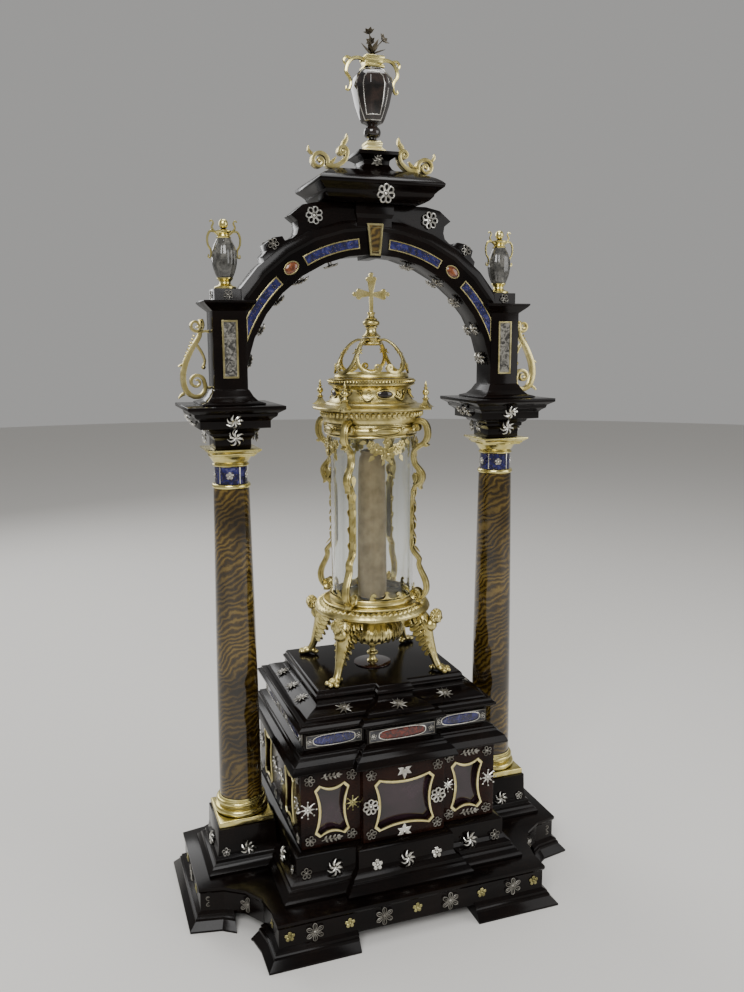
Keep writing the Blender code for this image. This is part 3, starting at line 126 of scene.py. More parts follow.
def smoothed(points, steps=4, closed=False):
    # points along a soft line through the given ones; a point given twice stays a corner
    count = len(points)
    found = []
    for i in range(count if closed else count - 1):
        a, b, c, d = (points[j % count] if closed else points[min(max(j, 0), count - 1)]
                      for j in (i - 1, i, i + 1, i + 2))
        if b == c:
            continue
        before = b if a == b else a
        after = c if d == c else d
        for k in range(steps):
            t = k / steps
            found.append(tuple(0.5 * (2 * q + (r - p) * t + (2 * p - 5 * q + 4 * r - s) * t * t
                                      + (3 * q - p - 3 * r + s) * t ** 3) for p, q, r, s in zip(before, b, c, after)))
    if not closed:
        found.append(tuple(float(v) for v in points[-1]))
    return found


def drawnLine(lines, closed=False):
    # a path whose own points are replaced by the drawn ones, (x, y, z) or (x, y, z, thickness) in mm
    pickNothing()
    bpy.ops.curve.primitive_nurbs_path_add(location=(0, 0, 0))
    path = bpy.context.object
    path.data.splines.clear()
    for points in lines:
        line = path.data.splines.new("POLY")
        line.points.add(len(points) - 1)
        for knot, spot in zip(line.points, points):
            knot.co = (spot[0] * mm, spot[1] * mm, spot[2] * mm, 1)
            knot.radius = spot[3] if len(spot) > 3 else 1
        line.use_cyclic_u = closed
    return path


def toMesh(path):
    pick(path)
    bpy.ops.object.convert(target="MESH")
    return bpy.context.object


def rod(points, radius, closed=False, roundness=1, steps=4):
    # round wire along a soft line; the points may carry their own share of the radius
    line = smoothed([tuple(p) + (1,) * (4 - len(p)) for p in points], steps, closed)
    path = drawnLine([line], closed)
    path.data.dimensions = "3D"
    path.data.bevel_depth = radius * mm
    path.data.bevel_resolution = roundness
    path.data.use_fill_caps = not closed
    return toMesh(path)


def cutPlate(outlines, thickness, edge=0.3, roundness=1):
    # sheet cut to an outline (u, v), holes included, with rounded edges; its face looks along +z
    path = drawnLine([[(u, v, 0) for u, v in line] for line in outlines], True)
    path.data.dimensions = "2D"
    path.data.fill_mode = "BOTH"
    path.data.extrude = max(thickness / 2 - edge, 0.02) * mm
    path.data.bevel_depth = edge * mm
    path.data.bevel_resolution = roundness
    path.data.offset = -edge * mm
    return toMesh(path)


def turned(profile, centre=(0, 0), sides=64, steps=0):
    # a profile (radius, height) spun about an upright axis; steps above 0 softens the line first
    line = smoothed(profile, steps) if steps else profile
    piece = toMesh(drawnLine([[(centre[0] + r, centre[1], z) for r, z in line]]))
    editVerts(piece, lambda spot: True)
    bpy.ops.mesh.spin(steps=sides, angle=2 * math.pi, center=(centre[0] * mm, centre[1] * mm, 0), axis=(0, 0, 1))
    leaveEdit()
    return tidyMesh(piece)


def stepped(profile, halfX, halfY, centre=(0, 0)):
    # a rectangle drawn up in steps: (how far it stands out, height)
    stand, height = profile[0]
    pickNothing()
    bpy.ops.mesh.primitive_plane_add(size=1, location=(0, 0, 0))
    piece = bpy.context.object
    piece.scale = (2 * (halfX + stand) * mm, 2 * (halfY + stand) * mm, 1)
    piece.location = (centre[0] * mm, centre[1] * mm, height * mm)
    bpy.ops.object.transform_apply(location=True, rotation=True, scale=True)
    bpy.ops.object.mode_set(mode="EDIT")
    bpy.ops.mesh.select_all(action="SELECT")
    for (before, low), (after, high) in zip(profile, profile[1:]):
        bpy.ops.mesh.extrude_region_move(TRANSFORM_OT_translate={"value": (0, 0, (high - low) * mm)})
        widen = ((halfX + after) / (halfX + before), (halfY + after) / (halfY + before), 1)
        bpy.ops.transform.resize(value=widen, center_override=(centre[0] * mm, centre[1] * mm, high * mm))
    bpy.ops.mesh.select_all(action="SELECT")
    bpy.ops.mesh.normals_make_consistent(inside=False)
    leaveEdit()
    return piece


def shift(x, y, z):
    return Matrix.Translation((x * mm, y * mm, z * mm))


def turnBy(angle, axis):
    return Matrix.Rotation(math.radians(angle), 4, axis)


def sized(size):
    return Matrix.Scale(size, 4)


def mirror(side):
    # -1 mirrors in x, 1 leaves the piece as it is
    return Matrix.Scale(side, 4, (1, 0, 0))


def sinOf(angle):
    return math.sin(math.radians(angle))


def cosOf(angle):
    return math.cos(math.radians(angle))


def angleOf(spot):
    # degrees round the upright axis
    return math.degrees(math.atan2(spot.y, spot.x))


def facing(x, y, z, heading=0, tilt=0, spin=0, size=1):
    # a place on the object, mm: +z of a flat ornament looks out at the heading (0 front, 90 right), tilted back
    return shift(x, y, z) @ (turnBy(heading, "Z") @ turnBy(90 - tilt, "X")) @ turnBy(spin, "Z") @ sized(size)


def movedTo(piece, place):
    # a mirrored piece has its faces turned outward again
    piece.data.transform(place)
    if place.determinant() < 0:
        piece.data.flip_normals()
    return piece


def copyAt(piece, place):
    # a copy with its own mesh, moved to its place
    made = piece.copy()
    made.data = piece.data.copy()
    bpy.context.collection.objects.link(made)
    return movedTo(made, place)


def putAway(*pieces):
    for piece in pieces:
        bpy.data.objects.remove(piece, do_unlink=True)


def eased(piece, width, fromAngle=30):
    # edges sharper than the angle rounded over by a width in mm
    return applied(piece, "BEVEL", width=width * mm, segments=2, limit_method="ANGLE",
                   angle_limit=math.radians(fromAngle))


def joined(pieces):
    pick(pieces[0], *pieces[1:])
    if len(pieces) > 1:
        bpy.ops.object.join()
    return pieces[0]


def finishPiece(piece, name, material, replaced=(), smooth=35):
    # a piece, or a list of parts to join, with its name, material, ride and the CAD nodes it stands for
    if isinstance(piece, list):
        piece = joined(piece)
    piece.name = name
    pick(piece)
    bpy.ops.object.transform_apply(location=True, rotation=True, scale=True)
    piece.data.materials.clear()
    piece.data.materials.append(material)
    bpy.ops.object.shade_smooth_by_angle(angle=math.radians(smooth))
    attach(piece, "root")
    if replaced:
        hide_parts(*replaced)
    return piece


# camera, light and floor
cameraView = {"at": (-314, -889, 589.9), "turn": -19.585, "dip": 9.84, "roll": -0.22, "lens": 32.12}
pickNothing()
bpy.ops.object.camera_add(location=[v * mm for v in cameraView["at"]])
camera = bpy.context.object
camera.rotation_euler = (turnBy(cameraView["turn"], "Z")
                         @ turnBy(90 - cameraView["dip"], "X")
                         @ turnBy(cameraView["roll"], "Z")).to_euler()
camera.data.lens = cameraView["lens"]
camera.data.sensor_width = 36
camera.data.clip_start = 0.01
bpy.context.scene.camera = camera

studioLights = {
    "key": {"at": (-900, -1500, 1700), "aim": (0, 0, 400), "size": 1.1, "watts": 34},
    "fill": {"at": (1500, -1100, 900), "aim": (0, 0, 350), "size": 1.3, "watts": 14},
    "top": {"at": (100, 200, 2200), "aim": (0, 0, 300), "size": 1.2, "watts": 22},
    "back": {"at": (-700, 1700, 1300), "aim": (0, 0, 400), "size": 1.2, "watts": 16},
}
for name, light in studioLights.items():
    bpy.ops.object.light_add(type="AREA", location=[v * mm for v in light["at"]])
    lamp = bpy.context.object
    lamp.name = "light_" + name
    lamp.data.size = light["size"]
    lamp.data.energy = light["watts"]
    lamp.rotation_euler = (Vector(light["aim"]) - Vector(light["at"])).to_track_quat("-Z", "Y").to_euler()
studioAir = {"colour": "c9c8c6", "strength": 0.62}
world = bpy.data.worlds.new("studio")
bpy.context.scene.world = world
world.use_nodes = True
airShader = world.node_tree.nodes["Background"]
airShader.inputs["Color"].default_value = toLinear(studioAir["colour"])
airShader.inputs["Strength"].default_value = studioAir["strength"]

floorWork = {"radius": 6000, "rim": 900}
bpy.ops.mesh.primitive_circle_add(vertices=96, radius=floorWork["radius"] * mm, fill_type="NGON", location=(0, 0, 0))
studioFloor = bpy.context.object
studioFloor.name = "studio_floor"
bpy.ops.object.mode_set(mode="EDIT")
bpy.ops.mesh.select_all(action="SELECT")
bpy.ops.mesh.inset(thickness=floorWork["rim"] * mm)
leaveEdit()
studioFloor.data.materials.append(newMaterial("pale_matt_paint", {"Base Color": "d6d4d0", "Roughness": 0.75})[0])
print("stage set")


# materials
def objectSpot(tree, settings=None):
    # the spot on the object, stretched or turned where there are settings
    spot = addNode(tree, "TexCoord").outputs["Object"]
    return addNode(tree, "Mapping", settings, {"Vector": spot}).outputs[0] if settings else spot


def noiseOf(tree, spot, size, detail, **more):
    # soft clouds of a size in mm
    return addNode(tree, "TexNoise", {"Scale": 1000 / size, "Detail": detail, **more}, {"Vector": spot}).outputs[0]


def rampOf(tree, value, *stops):
    return addNode(tree, "ValToRGB", {"stops": stops}, {"Fac": value}).outputs[0]


def mixOf(tree, first, second, share, **more):
    # two colours mixed; each of the three may be a socket or a value
    values, links = {"data_type": "RGBA", **more}, {}
    for place, part in ((0, share), (6, first), (7, second)):
        if isinstance(part, bpy.types.NodeSocket):
            links[place] = part
        else:
            values[place] = toLinear(part) if isinstance(part, str) else part
    return addNode(tree, "Mix", values, links).outputs[2]


def paint(tree, shader, colour):
    tree.links.new(colour, shader.inputs["Base Color"])


def bumped(tree, shader, height, strength, distance=0.0002):
    bump = addNode(tree, "Bump", {"Strength": strength, "Distance": distance}, {"Height": height})
    tree.links.new(bump.outputs[0], shader.inputs["Normal"])


def ebonyPolish(name, dark, light, gloss):
    # ebonised pearwood under French polish: near black with a brown cast, fine upright grain of 0.4 mm, deep gloss
    material, tree, shader = newMaterial(name, {"Roughness": gloss, "Specular IOR Level": 0.14})
    grain = noiseOf(tree, objectSpot(tree, {"Scale": (1 / 2.4, 1 / 2.4, 1 / 0.4)}), 1, 3)
    cloud = noiseOf(tree, objectSpot(tree), 40, 3)
    both = addNode(tree, "Math", {"operation": "MULTIPLY"}, {0: grain, 1: cloud}).outputs[0]
    paint(tree, shader, rampOf(tree, both, (0.16, dark), (0.4, light)))
    bumped(tree, shader, grain, 0.06)
    return material


def chasedMetal(name, bright, worn, shadeAndDirt, gloss, relief=0.25):
    # cast metal, chased and rubbed: bright on what stands out, and in hollows under 2.5 mm a dark colour that is
    # painted shade together with dirt and tarnish; tool marks of 0.7 mm
    material, tree, shader = newMaterial(name, {"Metallic": 1})
    patch = noiseOf(tree, objectSpot(tree), 9, 4)
    # painted shade: ambient occlusion darkens the hollows towards the shade-and-dirt colour
    hollow = addNode(tree, "AmbientOcclusion", {"samples": 6, "Distance": 0.0025}).outputs["AO"]
    unshadedAndClean = rampOf(tree, hollow, (0.25, 0), (0.75, 1))
    paint(tree, shader, mixOf(tree, shadeAndDirt, rampOf(tree, patch, (0.35, worn), (0.62, bright)), unshadedAndClean))
    rough = addNode(tree, "MapRange", {"To Min": gloss + 0.14, "To Max": gloss - 0.04}, {"Value": patch})
    tree.links.new(rough.outputs[0], shader.inputs["Roughness"])
    bumped(tree, shader, noiseOf(tree, objectSpot(tree), 0.7, 2), relief)
    return material


def polishedStone(name, stops, cloudSize, twist, gloss=0.12, fleck=None):
    # hardstone, ground and polished: clouds and bands of the given size in mm under a hard gloss
    material, tree, shader = newMaterial(name, {"Roughness": gloss, "Coat Weight": 0.5, "Coat Roughness": 0.04})
    slanted = objectSpot(tree, {"Rotation": (0.3, 0.5, 0.2)})
    colour = rampOf(tree, noiseOf(tree, slanted, cloudSize, 6, Roughness=0.6, Distortion=twist), *stops)
    if fleck:
        spots = addNode(tree, "TexVoronoi", {"Scale": 1000 / 1.6}, {"Vector": objectSpot(tree)})
        colour = mixOf(tree, colour, fleck, rampOf(tree, spots.outputs["Distance"], (0.1, 1), (0.16, 0)))
    paint(tree, shader, colour)
    return material


polishedEbony = ebonyPolish("french_polished_ebony", "050303", "130c09", 0.17)
stainedPanel = ebonyPolish("stained_pearwood_panel", "0e0706", "2b1710", 0.22)
# fire gilding looks warm, pale and soft, with painted shade in its hollows; burnished it is brighter and sharper,
# rubbed it is greyer
giltBronze = chasedMetal("fire_gilt_bronze", "d6c88c", "ab9c5f", "332a16", 0.25)
brightGilt = chasedMetal("burnished_gilt_bronze", "e3d794", "c6b76f", "4a4022", 0.17, 0.1)
creamGilt = chasedMetal("cream_gilt_strip", "f3e8ae", "dfd192", "786b3a", 0.3, 0.08)
paleGilt = chasedMetal("rubbed_gilt_strip", "b3a97c", "8f8459", "3a3220", 0.3, 0.12)
greenGilt = chasedMetal("greenish_gilt_leaf", "b5ad78", "7f7950", "211e12", 0.3, 0.15)
# chased silver catches near-white glints; tarnish greys it; steel and the flowers' metal stay dark with rough tool marks
chasedSilver = chasedMetal("chased_silver", "e8e6df", "b5b2aa", "2e2a26", 0.22, 0.15)
dullSilver = chasedMetal("tarnished_silver", "a9a69e", "77736b", "1e1b18", 0.34, 0.2)
steelPlate = chasedMetal("engraved_steel_plate", "5d5d60", "3e3e41", "121112", 0.36, 0.3)
flowerMetal = chasedMetal("tarnished_flower_metal", "6b6456", "474137", "15120e", 0.42, 0.45)
# lapis, polished: deep blue clouds of 7 mm with pale veins and gold specks under 1 mm
lapisStone = polishedStone("polished_lapis", [(0.34, "05051a"), (0.47, "0f103c"), (0.58, "1d1f5a"), (0.68, "494b75")],
                           7, 0.9, fleck="b79f5c")
# jasper: brick red with dark and orange clouds of 5 mm
jasperStone = polishedStone("polished_jasper", [(0.36, "260804"), (0.5, "4b140a"), (0.62, "702615")], 5, 1.2)
# carnelian: glowing orange agate
carnelianStone = polishedStone("polished_carnelian", [(0.36, "391a0c"), (0.5, "633217"), (0.64, "834a27")], 6, 0.8)
# grey agate: mottled grey and fawn, 6 mm clouds
greyAgate = polishedStone("polished_grey_agate", [(0.34, "1d1c1a"), (0.48, "45433e"), (0.6, "8b887f"), (0.7, "33312d")],
                          6, 1.6)
# banded stone of the shafts: amber brown, in wavy slanting bands of a few mm like old wood, under a hard polish
amberPolish = {"Roughness": 0.09, "Coat Weight": 0.3, "Coat Roughness": 0.03}
amberStone, amberTree, amberShader = newMaterial("polished_banded_amber_stone", amberPolish)
amberBands = addNode(amberTree, "TexWave", {"bands_direction": "Z", "Scale": 58, "Distortion": 19, "Detail": 5,
                                            "Detail Scale": 0.55},
                     {"Vector": objectSpot(amberTree, {"Rotation": (0.5, 0.35, 0)})}).outputs[1]
amberColour = rampOf(amberTree, amberBands, (0.05, "33270f"), (0.35, "453514"), (0.65, "55431a"), (0.95, "6a5626"))
amberShade = rampOf(amberTree, noiseOf(amberTree, objectSpot(amberTree), 45, 4), (0.35, "5f5433"), (0.62, "ffffff"))
paint(amberTree, amberShader, mixOf(amberTree, amberColour, amberShade, 0.85, blend_type="MULTIPLY"))
# smoky quartz: almost black, with brown depth
smokyQuartz = polishedStone("polished_smoky_quartz", [(0.4, "0c0908"), (0.6, "2a1f1a")], 12, 0.5, gloss=0.06)
# window glass, tinted purple brown: a dark mirror
tintedGlass = polishedStone("tinted_window_glass", [(0.35, "170e10"), (0.65, "33222a")], 30, 0.3, gloss=0.05)

# blown glass: clear, almost colourless
glassBody = {"Base Color": "fafcfa", "Roughness": 0, "IOR": 1.45, "Transmission Weight": 1}
clearGlass, glassTree, glassShader = newMaterial("clear_blown_glass", glassBody)
bumped(glassTree, glassShader, noiseOf(glassTree, objectSpot(glassTree), 30, 1), 0.05, 0.0005)

# plain-woven linen: threads of 0.6 mm, drawn a little coarse so that they show, and soft yellowed patches of 12 mm
wovenLinen, linenTree, linenShader = newMaterial("woven_linen", {"Roughness": 0.9, "Sheen Weight": 0.3})
paint(linenTree, linenShader, rampOf(linenTree, noiseOf(linenTree, objectSpot(linenTree), 12, 4), (0.35, "84734f"),
                                     (0.65, "a89672")))
threads = addNode(linenTree, "TexWave", {"bands_direction": "Z", "Scale": 1000 / 0.6 / 6.28, "Distortion": 0.4},
                  {"Vector": objectSpot(linenTree)})
bumped(linenTree, linenShader, threads.outputs[1], 0.35)
# agate of the side urns: smoky grey; jasper of the disc: red so dark that it is almost black
smokyAgate = polishedStone("polished_smoky_agate", [(0.34, "262522"), (0.5, "474642"), (0.66, "6d6b65")], 9, 1.2)
darkJasper = polishedStone("polished_dark_jasper", [(0.36, "140604"), (0.5, "240d0a"), (0.62, "331713")], 5, 1.2)
print("materials mixed")


# woodwork
woodwork = {
    # CAD node: (rounding of its edges in mm, its finish)
    "base_plinth": (0.7, polishedEbony), "casket_plinth": (0.5, polishedEbony), "casket_body": (0.5, stainedPanel),
    "casket_cornice": (0.4, polishedEbony), "casket_lid": (0.5, polishedEbony), "top_cornice": (0.4, polishedEbony),
    "urn_plinth": (0.5, polishedEbony), "impost_left": (0.4, polishedEbony), "impost_right": (0.4, polishedEbony),
    "arch": (0.5, polishedEbony),
}


def roundedCopy(node, width, finish):
    # a copy of a joiner's piece with its edges eased, so that they catch the light as thin lines
    piece = copyAt(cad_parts[node], Matrix.Identity(4))
    for key in list(piece.keys()):
        del piece[key]
    piece.parent = None
    piece.matrix_world = Matrix.Identity(4)
    tidyMesh(piece)
    editVerts(piece, lambda spot: True)
    bpy.ops.mesh.dissolve_limited(angle_limit=math.radians(1.5))
    leaveEdit()
    eased(piece, width, 14)
    return finishPiece(piece, node + "_polished", finish, (node,), 40)


for node, (width, finish) in woodwork.items():
    roundedCopy(node, width, finish)
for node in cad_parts:
    if node.startswith("pane_"):
        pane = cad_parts[node]
        pane.material_slots[0].link = "OBJECT"
        pane.material_slots[0].material = tintedGlass
print("woodwork rounded")


# columns and capitals
def halfRound(low, high, rest, peak, steps=8):
    # profile of a half-round bead
    angles = [math.pi * i / steps for i in range(steps + 1)]
    return [(rest + (peak - rest) * math.sin(angle), low + (high - low) * (1 - math.cos(angle)) / 2)
            for angle in angles]


def ringOf(piece, count, start=0):
    # copies of a piece set round the upright axis; the first one goes
    made = [copyAt(piece, turnBy(start + 360 * i / count, "Z")) for i in range(count)]
    putAway(piece)
    return made


columnWork = {"axis": 150, "plinthHalf": 28.9, "bottomRadius": 22.6, "topRadius": 18.2, "shaftLow": 113,
              "shaftHigh": 444.8, "neckRadius": 16.6, "abacusHalf": 26.7}


def pair(piece, name, material, nodes=(), mirrored=False, smooth=35, axis=columnWork["axis"]):
    # the left and the right piece from one that is modelled on the middle axis
    for side, label in ((-1, "left"), (1, "right")):
        flip = mirror(side) if mirrored else Matrix.Identity(4)
        made = copyAt(piece, shift(side * axis, 0, 0) @ flip)
        finishPiece(made, name + "_" + label, material, tuple(node + "_" + label for node in nodes), smooth)
    putAway(piece)


plinthBlock = stepped([(0, 87.1), (0, 93.2), (-0.9, 94)], columnWork["plinthHalf"], columnWork["plinthHalf"])
eased(plinthBlock, 0.5)
tori = turned([(0.4, 93.8), (25.6, 93.8)] + halfRound(94, 101.2, 25.8, 28.6) + [(24.9, 101.5), (24.9, 102)]
              + [(24, 102.4), (23.7, 103.2), (24, 103.8)] + halfRound(104.2, 109.2, 24.3, 26.4, 7)
              + [(24.2, 109.5), (24.2, 110.3), (23.4, 111), (23.3, 112.6), (0.4, 112.7)], sides=72)
pair(joined([plinthBlock, tori]), "column_base_turned", brightGilt, ("column_base",))

shaftLine = [(0.3, 113)]
for i in range(25):
    share = i / 24
    radius = columnWork["bottomRadius"] - (columnWork["bottomRadius"] - columnWork["topRadius"]) * share ** 1.4
    shaftLine.append((radius, columnWork["shaftLow"] + (columnWork["shaftHigh"] - columnWork["shaftLow"]) * share))
shaftLine.append((0.3, columnWork["shaftHigh"]))
pair(turned(shaftLine, sides=80), "shaft_polished", amberStone, ("column_shaft",))
pair(turned([(15, 445)] + halfRound(445.1, 449.7, 18, 19.6) + [(15, 449.8)], sides=72), "shaft_ring", brightGilt,
     ("column_ring",))
pair(turned([(0.3, 450), (columnWork["neckRadius"], 450), (columnWork["neckRadius"], 467.5), (0.3, 467.5)], sides=72),
     "neck_band", lapisStone, ("column_neck",))
neckStrip = eased(stepped([(0, 450.2), (0, 467.3)], 0.6, 1.2, (0, 16.1)), 0.2)
pair(joined(ringOf(neckStrip, 5, 56.5)), "neck_strips", chasedSilver)

echinus = turned([(0.4, 467.8), (18, 467.8), (18.6, 468.6), (18.6, 469.6), (17.2, 470.4), (17.2, 471.2)]
                 + smoothed([(17.4, 471.4), (18.6, 472.6), (20.4, 475.6), (22.6, 478.4)], 3)
                 + [(22.6, 479.6), (0.4, 479.6)], sides=72)
abacus = stepped([(-6.2, 478.2), (-6.2, 479.6), (-4.6, 479.9), (-4.4, 481.3), (-3.4, 481.7), (-2.6, 482.4), (-1, 483.6),
                  (-0.2, 484.2), (0, 484.6), (0, 485.8)], columnWork["abacusHalf"], columnWork["abacusHalf"])
eased(abacus, 0.3, 20)
pair(joined([echinus, abacus]), "capital_turned", brightGilt, ("column_capital",))
print("columns turned")


# flower kinds: each is modelled once, flat, with its face along +z
def dome(radius, height, sides=12):
    return turned([(radius, 0), (radius * 0.92, height * 0.4), (radius * 0.6, height * 0.8), (0.02, height)],
                  sides=sides)


def petalLoop(inner, reach, half, thick):
    # a petal of bent wire
    span = reach - inner
    line = [(inner, 0, 0.5), (inner + 0.4 * span, half * 0.85, 1), (inner + 0.8 * span, half * 0.9, 1.1),
            (reach, 0, 0.8), (inner + 0.8 * span, -half * 0.9, 1.1), (inner + 0.4 * span, -half * 0.85, 1)]
    return rod(line, thick, closed=True, steps=2)


def leafPlate(length, half, thick=0.5, bend=0):
    # a pointed leaf cut along +x, its tip drawn to one side by the bend
    side = [(0, 0), (0.25 * length, half), (0.55 * length, half * 0.85), (0.85 * length, half * 0.3), (length, 0)]
    outline = side + [(x, -y) for x, y in reversed(side[1:-1])]
    return cutPlate([[(x, y + bend * x * x / length) for x, y in outline]], thick, 0.18, 0)


def starShape(points, reach, waist):
    # a flat star: the corners lie on the reach and the waist in turn
    corners = [((waist if i % 2 else reach), math.pi * i / points) for i in range(2 * points)]
    return [(radius * math.cos(angle), radius * math.sin(angle)) for radius, angle in corners]


def lifted(piece, height):
    return movedTo(piece, shift(0, 0, height))


# how far each kind reaches from its middle
flowerSizes = {"small": 5.4, "leafStar": 9.6, "loop": 8.8, "star": 7.4, "aster": 9.6, "fan": 8.6}
flowers = {}
flowers["small"] = joined(ringOf(petalLoop(1.2, flowerSizes["small"], 1.7, 0.42), 5, 90) + [dome(1.3, 1.3, 8)])
petalLine = [(1, 0), (2.2, 1.6), (4, 1.9), (5.2, 0.9), (5.2, -0.9), (4, -1.9), (2.2, -1.6)]
flowers["rosette"] = joined(ringOf(cutPlate([petalLine], 0.8, 0.3, 0), 5, 90) + [dome(1.5, 1.5, 8)])
flowers["leafStar"] = joined(ringOf(joined([petalLoop(1.6, flowerSizes["leafStar"], 2.1, 0.42),
                                            rod([(1.4, 0, 0.5), (8.2, 0, 0.9)], 0.35, steps=1)]), 6, 30)
                             + [dome(1.8, 1.6, 10)])
flowers["loop"] = joined(ringOf(petalLoop(2.4, flowerSizes["loop"], 2.5, 0.95), 7, 90) + [dome(1.9, 1.8)])
ballEnd = movedTo(dome(1, 1.1, 6), shift(flowerSizes["star"], 0, 0.4))
flowers["star"] = joined([cutPlate([starShape(8, flowerSizes["star"], 2.6)], 0.7, 0.25, 0), dome(1.7, 1.7, 10)]
                         + ringOf(ballEnd, 8))
flowers["aster"] = joined([lifted(cutPlate([starShape(9, flowerSizes["aster"], 3.4)], 0.7, 0.25, 0), 0.3),
                           lifted(movedTo(cutPlate([starShape(8, 6.4, 2.5)], 0.7, 0.25, 0),
                                          Matrix.Rotation(0.3, 4, "Z")), 1), lifted(dome(1.4, 1.5, 10), 0.9)])
hooked = rod([(0.8, 0, 0.7, 0.9), (3.8, 1.3, 2, 1.7), (6.6, 0.8, 1.7, 1.35), (8.6, -1.8, 0.5, 0.25)], 0.8, steps=2)
flowers["swirl"] = joined(ringOf(hooked, 7) + [dome(1.5, 2, 10)])
fanLeaf = leafPlate(flowerSizes["fan"], 2.1)
flowers["fan"] = joined([copyAt(fanLeaf, turnBy(turn, "Z") @ sized(1 - abs(turn - 90) / 600))
                         for turn in (-22, 32, 90, 148, 202)] + [dome(1.5, 1.4, 8)])
leaflet = leafPlate(5, 1.35)
twigs = [rod([(-10, -0.8, 0.4, 1), (-4, 0.5, 0.5, 1), (4, -0.5, 0.5, 0.9), (10, 0.8, 0.4, 0.6)], 0.5, steps=2)]
for x, turn in ((-6.6, 62), (-5.4, -58), (-2, 55), (-0.6, -60), (2.8, 56), (4, -52), (7, 42), (7.6, -40), (9.2, 5)):
    twigs.append(copyAt(leaflet, shift(x, 0, 0.4) @ turnBy(turn, "Z")))
flowers["sprig"] = joined(twigs)
putAway(fanLeaf, leaflet)


def setFlowers(name, material, places, allRound=True):
    # (kind, x, y, z, heading, tilt, spin, size); what is at the front is repeated at the back
    if allRound:
        places = places + [(kind, -x, -y, z, heading + 180, *rest) for kind, x, y, z, heading, *rest in places]
    made, taken = [], set()
    for kind, x, y, z, heading, tilt, spin, size in places:
        spot = (round(x), round(y), round(z), round(heading) % 360)
        if spot not in taken:
            made.append(copyAt(flowers[kind], facing(x, y, z, heading, tilt, spin, size)))
            taken.add(spot)
    return finishPiece(made, name, material, (), 40)


def bothSides(places):
    # repeats each place mirrored in x
    return places + [(kind, -x, y, z, -heading, tilt, -spin, size) for kind, x, y, z, heading, tilt, spin,
                     size in places if x]


print("flowers bent")


# arch: stone panels in metal frames
archWork = {"centre": 542.3, "face": -16, "panelInner": 142.8, "panelOuter": 150.4, "panelEdge": 132.3,
            "ovalRadius": 148.5, "ovalAngle": 54.1, "pierFace": -17, "keyFace": -19.4, "pierX": 150,
            "blossomRadius": 132.6}


def onArch(radius, angle):
    return radius * cosOf(angle), archWork["centre"] + radius * sinOf(angle)


def bandPanel(start, end, edgeX, rim=0):
    # a sector of the arch between two angles, grown by a rim; edgeX cuts its lower end upright
    low, high = archWork["panelInner"] - rim, archWork["panelOuter"] + rim
    ends = (start, start) if edgeX is None else (math.degrees(math.acos((edgeX + rim * 0.6) / low)),
                                                 math.degrees(math.acos((edgeX + rim * 0.6) / high)))
    grown = math.degrees(rim / 146)
    sides = []
    for radius, first in zip((low, high), ends):
        first -= grown if edgeX is None else 0
        sides.append([onArch(radius, first + (end + grown - first) * i / 10) for i in range(11)])
    inner, outer = sides
    return outer + inner[::-1]


def aroundArch(piece, name, material, depth=None, quarters=4):
    # copies to the left half and to the back
    face = archWork["face"] if depth is None else depth
    made = []
    for heading in (0, 180):
        for side in ((1, -1) if quarters == 4 else (1,)):
            made.append(copyAt(piece, turnBy(heading, "Z") @ mirror(side) @ facing(0, face, 0)))
    putAway(piece)
    return finishPiece(made, name, material)


panelEnds = ((60.7, 83.3, None), (20, 47, archWork["panelEdge"]))
aroundArch(joined([cutPlate([bandPanel(*ends)], 1, 0.2) for ends in panelEnds]), "arch_lapis_panels", lapisStone)
aroundArch(joined([cutPlate([bandPanel(*ends, 1.3), bandPanel(*ends, 0.1)], 2, 0.3) for ends in panelEnds]),
           "arch_panel_frames", paleGilt)


def ovalRing(halfLong, halfShort, width, thickness):
    # a flat oval ring
    ring = [(math.cos(math.tau * i / 36), math.sin(math.tau * i / 36)) for i in range(36)]
    return cutPlate([[(c * (halfLong + grow), s * (halfShort + grow)) for c, s in ring] for grow in (width, 0)],
                    thickness, 0.25)


def ovalStone(halfLong, halfShort, height):
    # a cabochon
    stone = turned([(1, 0), (0.97, 0.35), (0.8, 0.72), (0.45, 0.94), (0.01, 1)], sides=36)
    return movedTo(stone, Matrix.Diagonal((halfLong, halfShort, height, 1)))


ovalPlace = shift(*onArch(archWork["ovalRadius"], archWork["ovalAngle"]), 0) @ turnBy(archWork["ovalAngle"] + 90, "Z")
aroundArch(movedTo(ovalStone(7.4, 5, 2.2), ovalPlace), "arch_carnelians", carnelianStone)
aroundArch(movedTo(ovalRing(7.3, 4.9, 1.1, 2.4), ovalPlace), "arch_oval_frames", paleGilt)

keyOutline = [(-5.7, 676.5), (5.7, 676.5), (8.6, 708), (-8.6, 708)]
keyInner = [(-3.9, 678.6), (3.9, 678.6), (6.6, 705.9), (-6.6, 705.9)]
keyRim = rod([(u * 0.86, v, 0.7) for u, v in ((-3.9, 680.4), (3.9, 680.4), (6.7, 704.1), (-6.7, 704.1), (-3.9, 680.4))],
             0.35, steps=1)
aroundArch(cutPlate([keyInner], 0.8, 0.1), "keystone_field", amberStone, archWork["keyFace"], 2)
aroundArch(joined([cutPlate([keyOutline, keyInner], 1.8, 0.3), keyRim]), "keystone_frame", paleGilt,
           archWork["keyFace"], 2)

pierPanel = {"half": 5.9, "low": 557.5, "high": 610, "frame": 1.9}


def box2d(half, low, high, centre=0, grow=0):
    return [(centre - half - grow, low - grow), (centre + half + grow, low - grow),
            (centre + half + grow, high + grow), (centre - half - grow, high + grow)]


pierSize = pierPanel["half"], pierPanel["low"], pierPanel["high"], archWork["pierX"]
panelBox = box2d(*pierSize)
aroundArch(cutPlate([panelBox], 1, 0.2), "pier_agate_panels", greyAgate, archWork["pierFace"])
aroundArch(cutPlate([box2d(*pierSize, pierPanel["frame"]), panelBox], 2, 0.3), "pier_panel_frames", paleGilt,
           archWork["pierFace"])

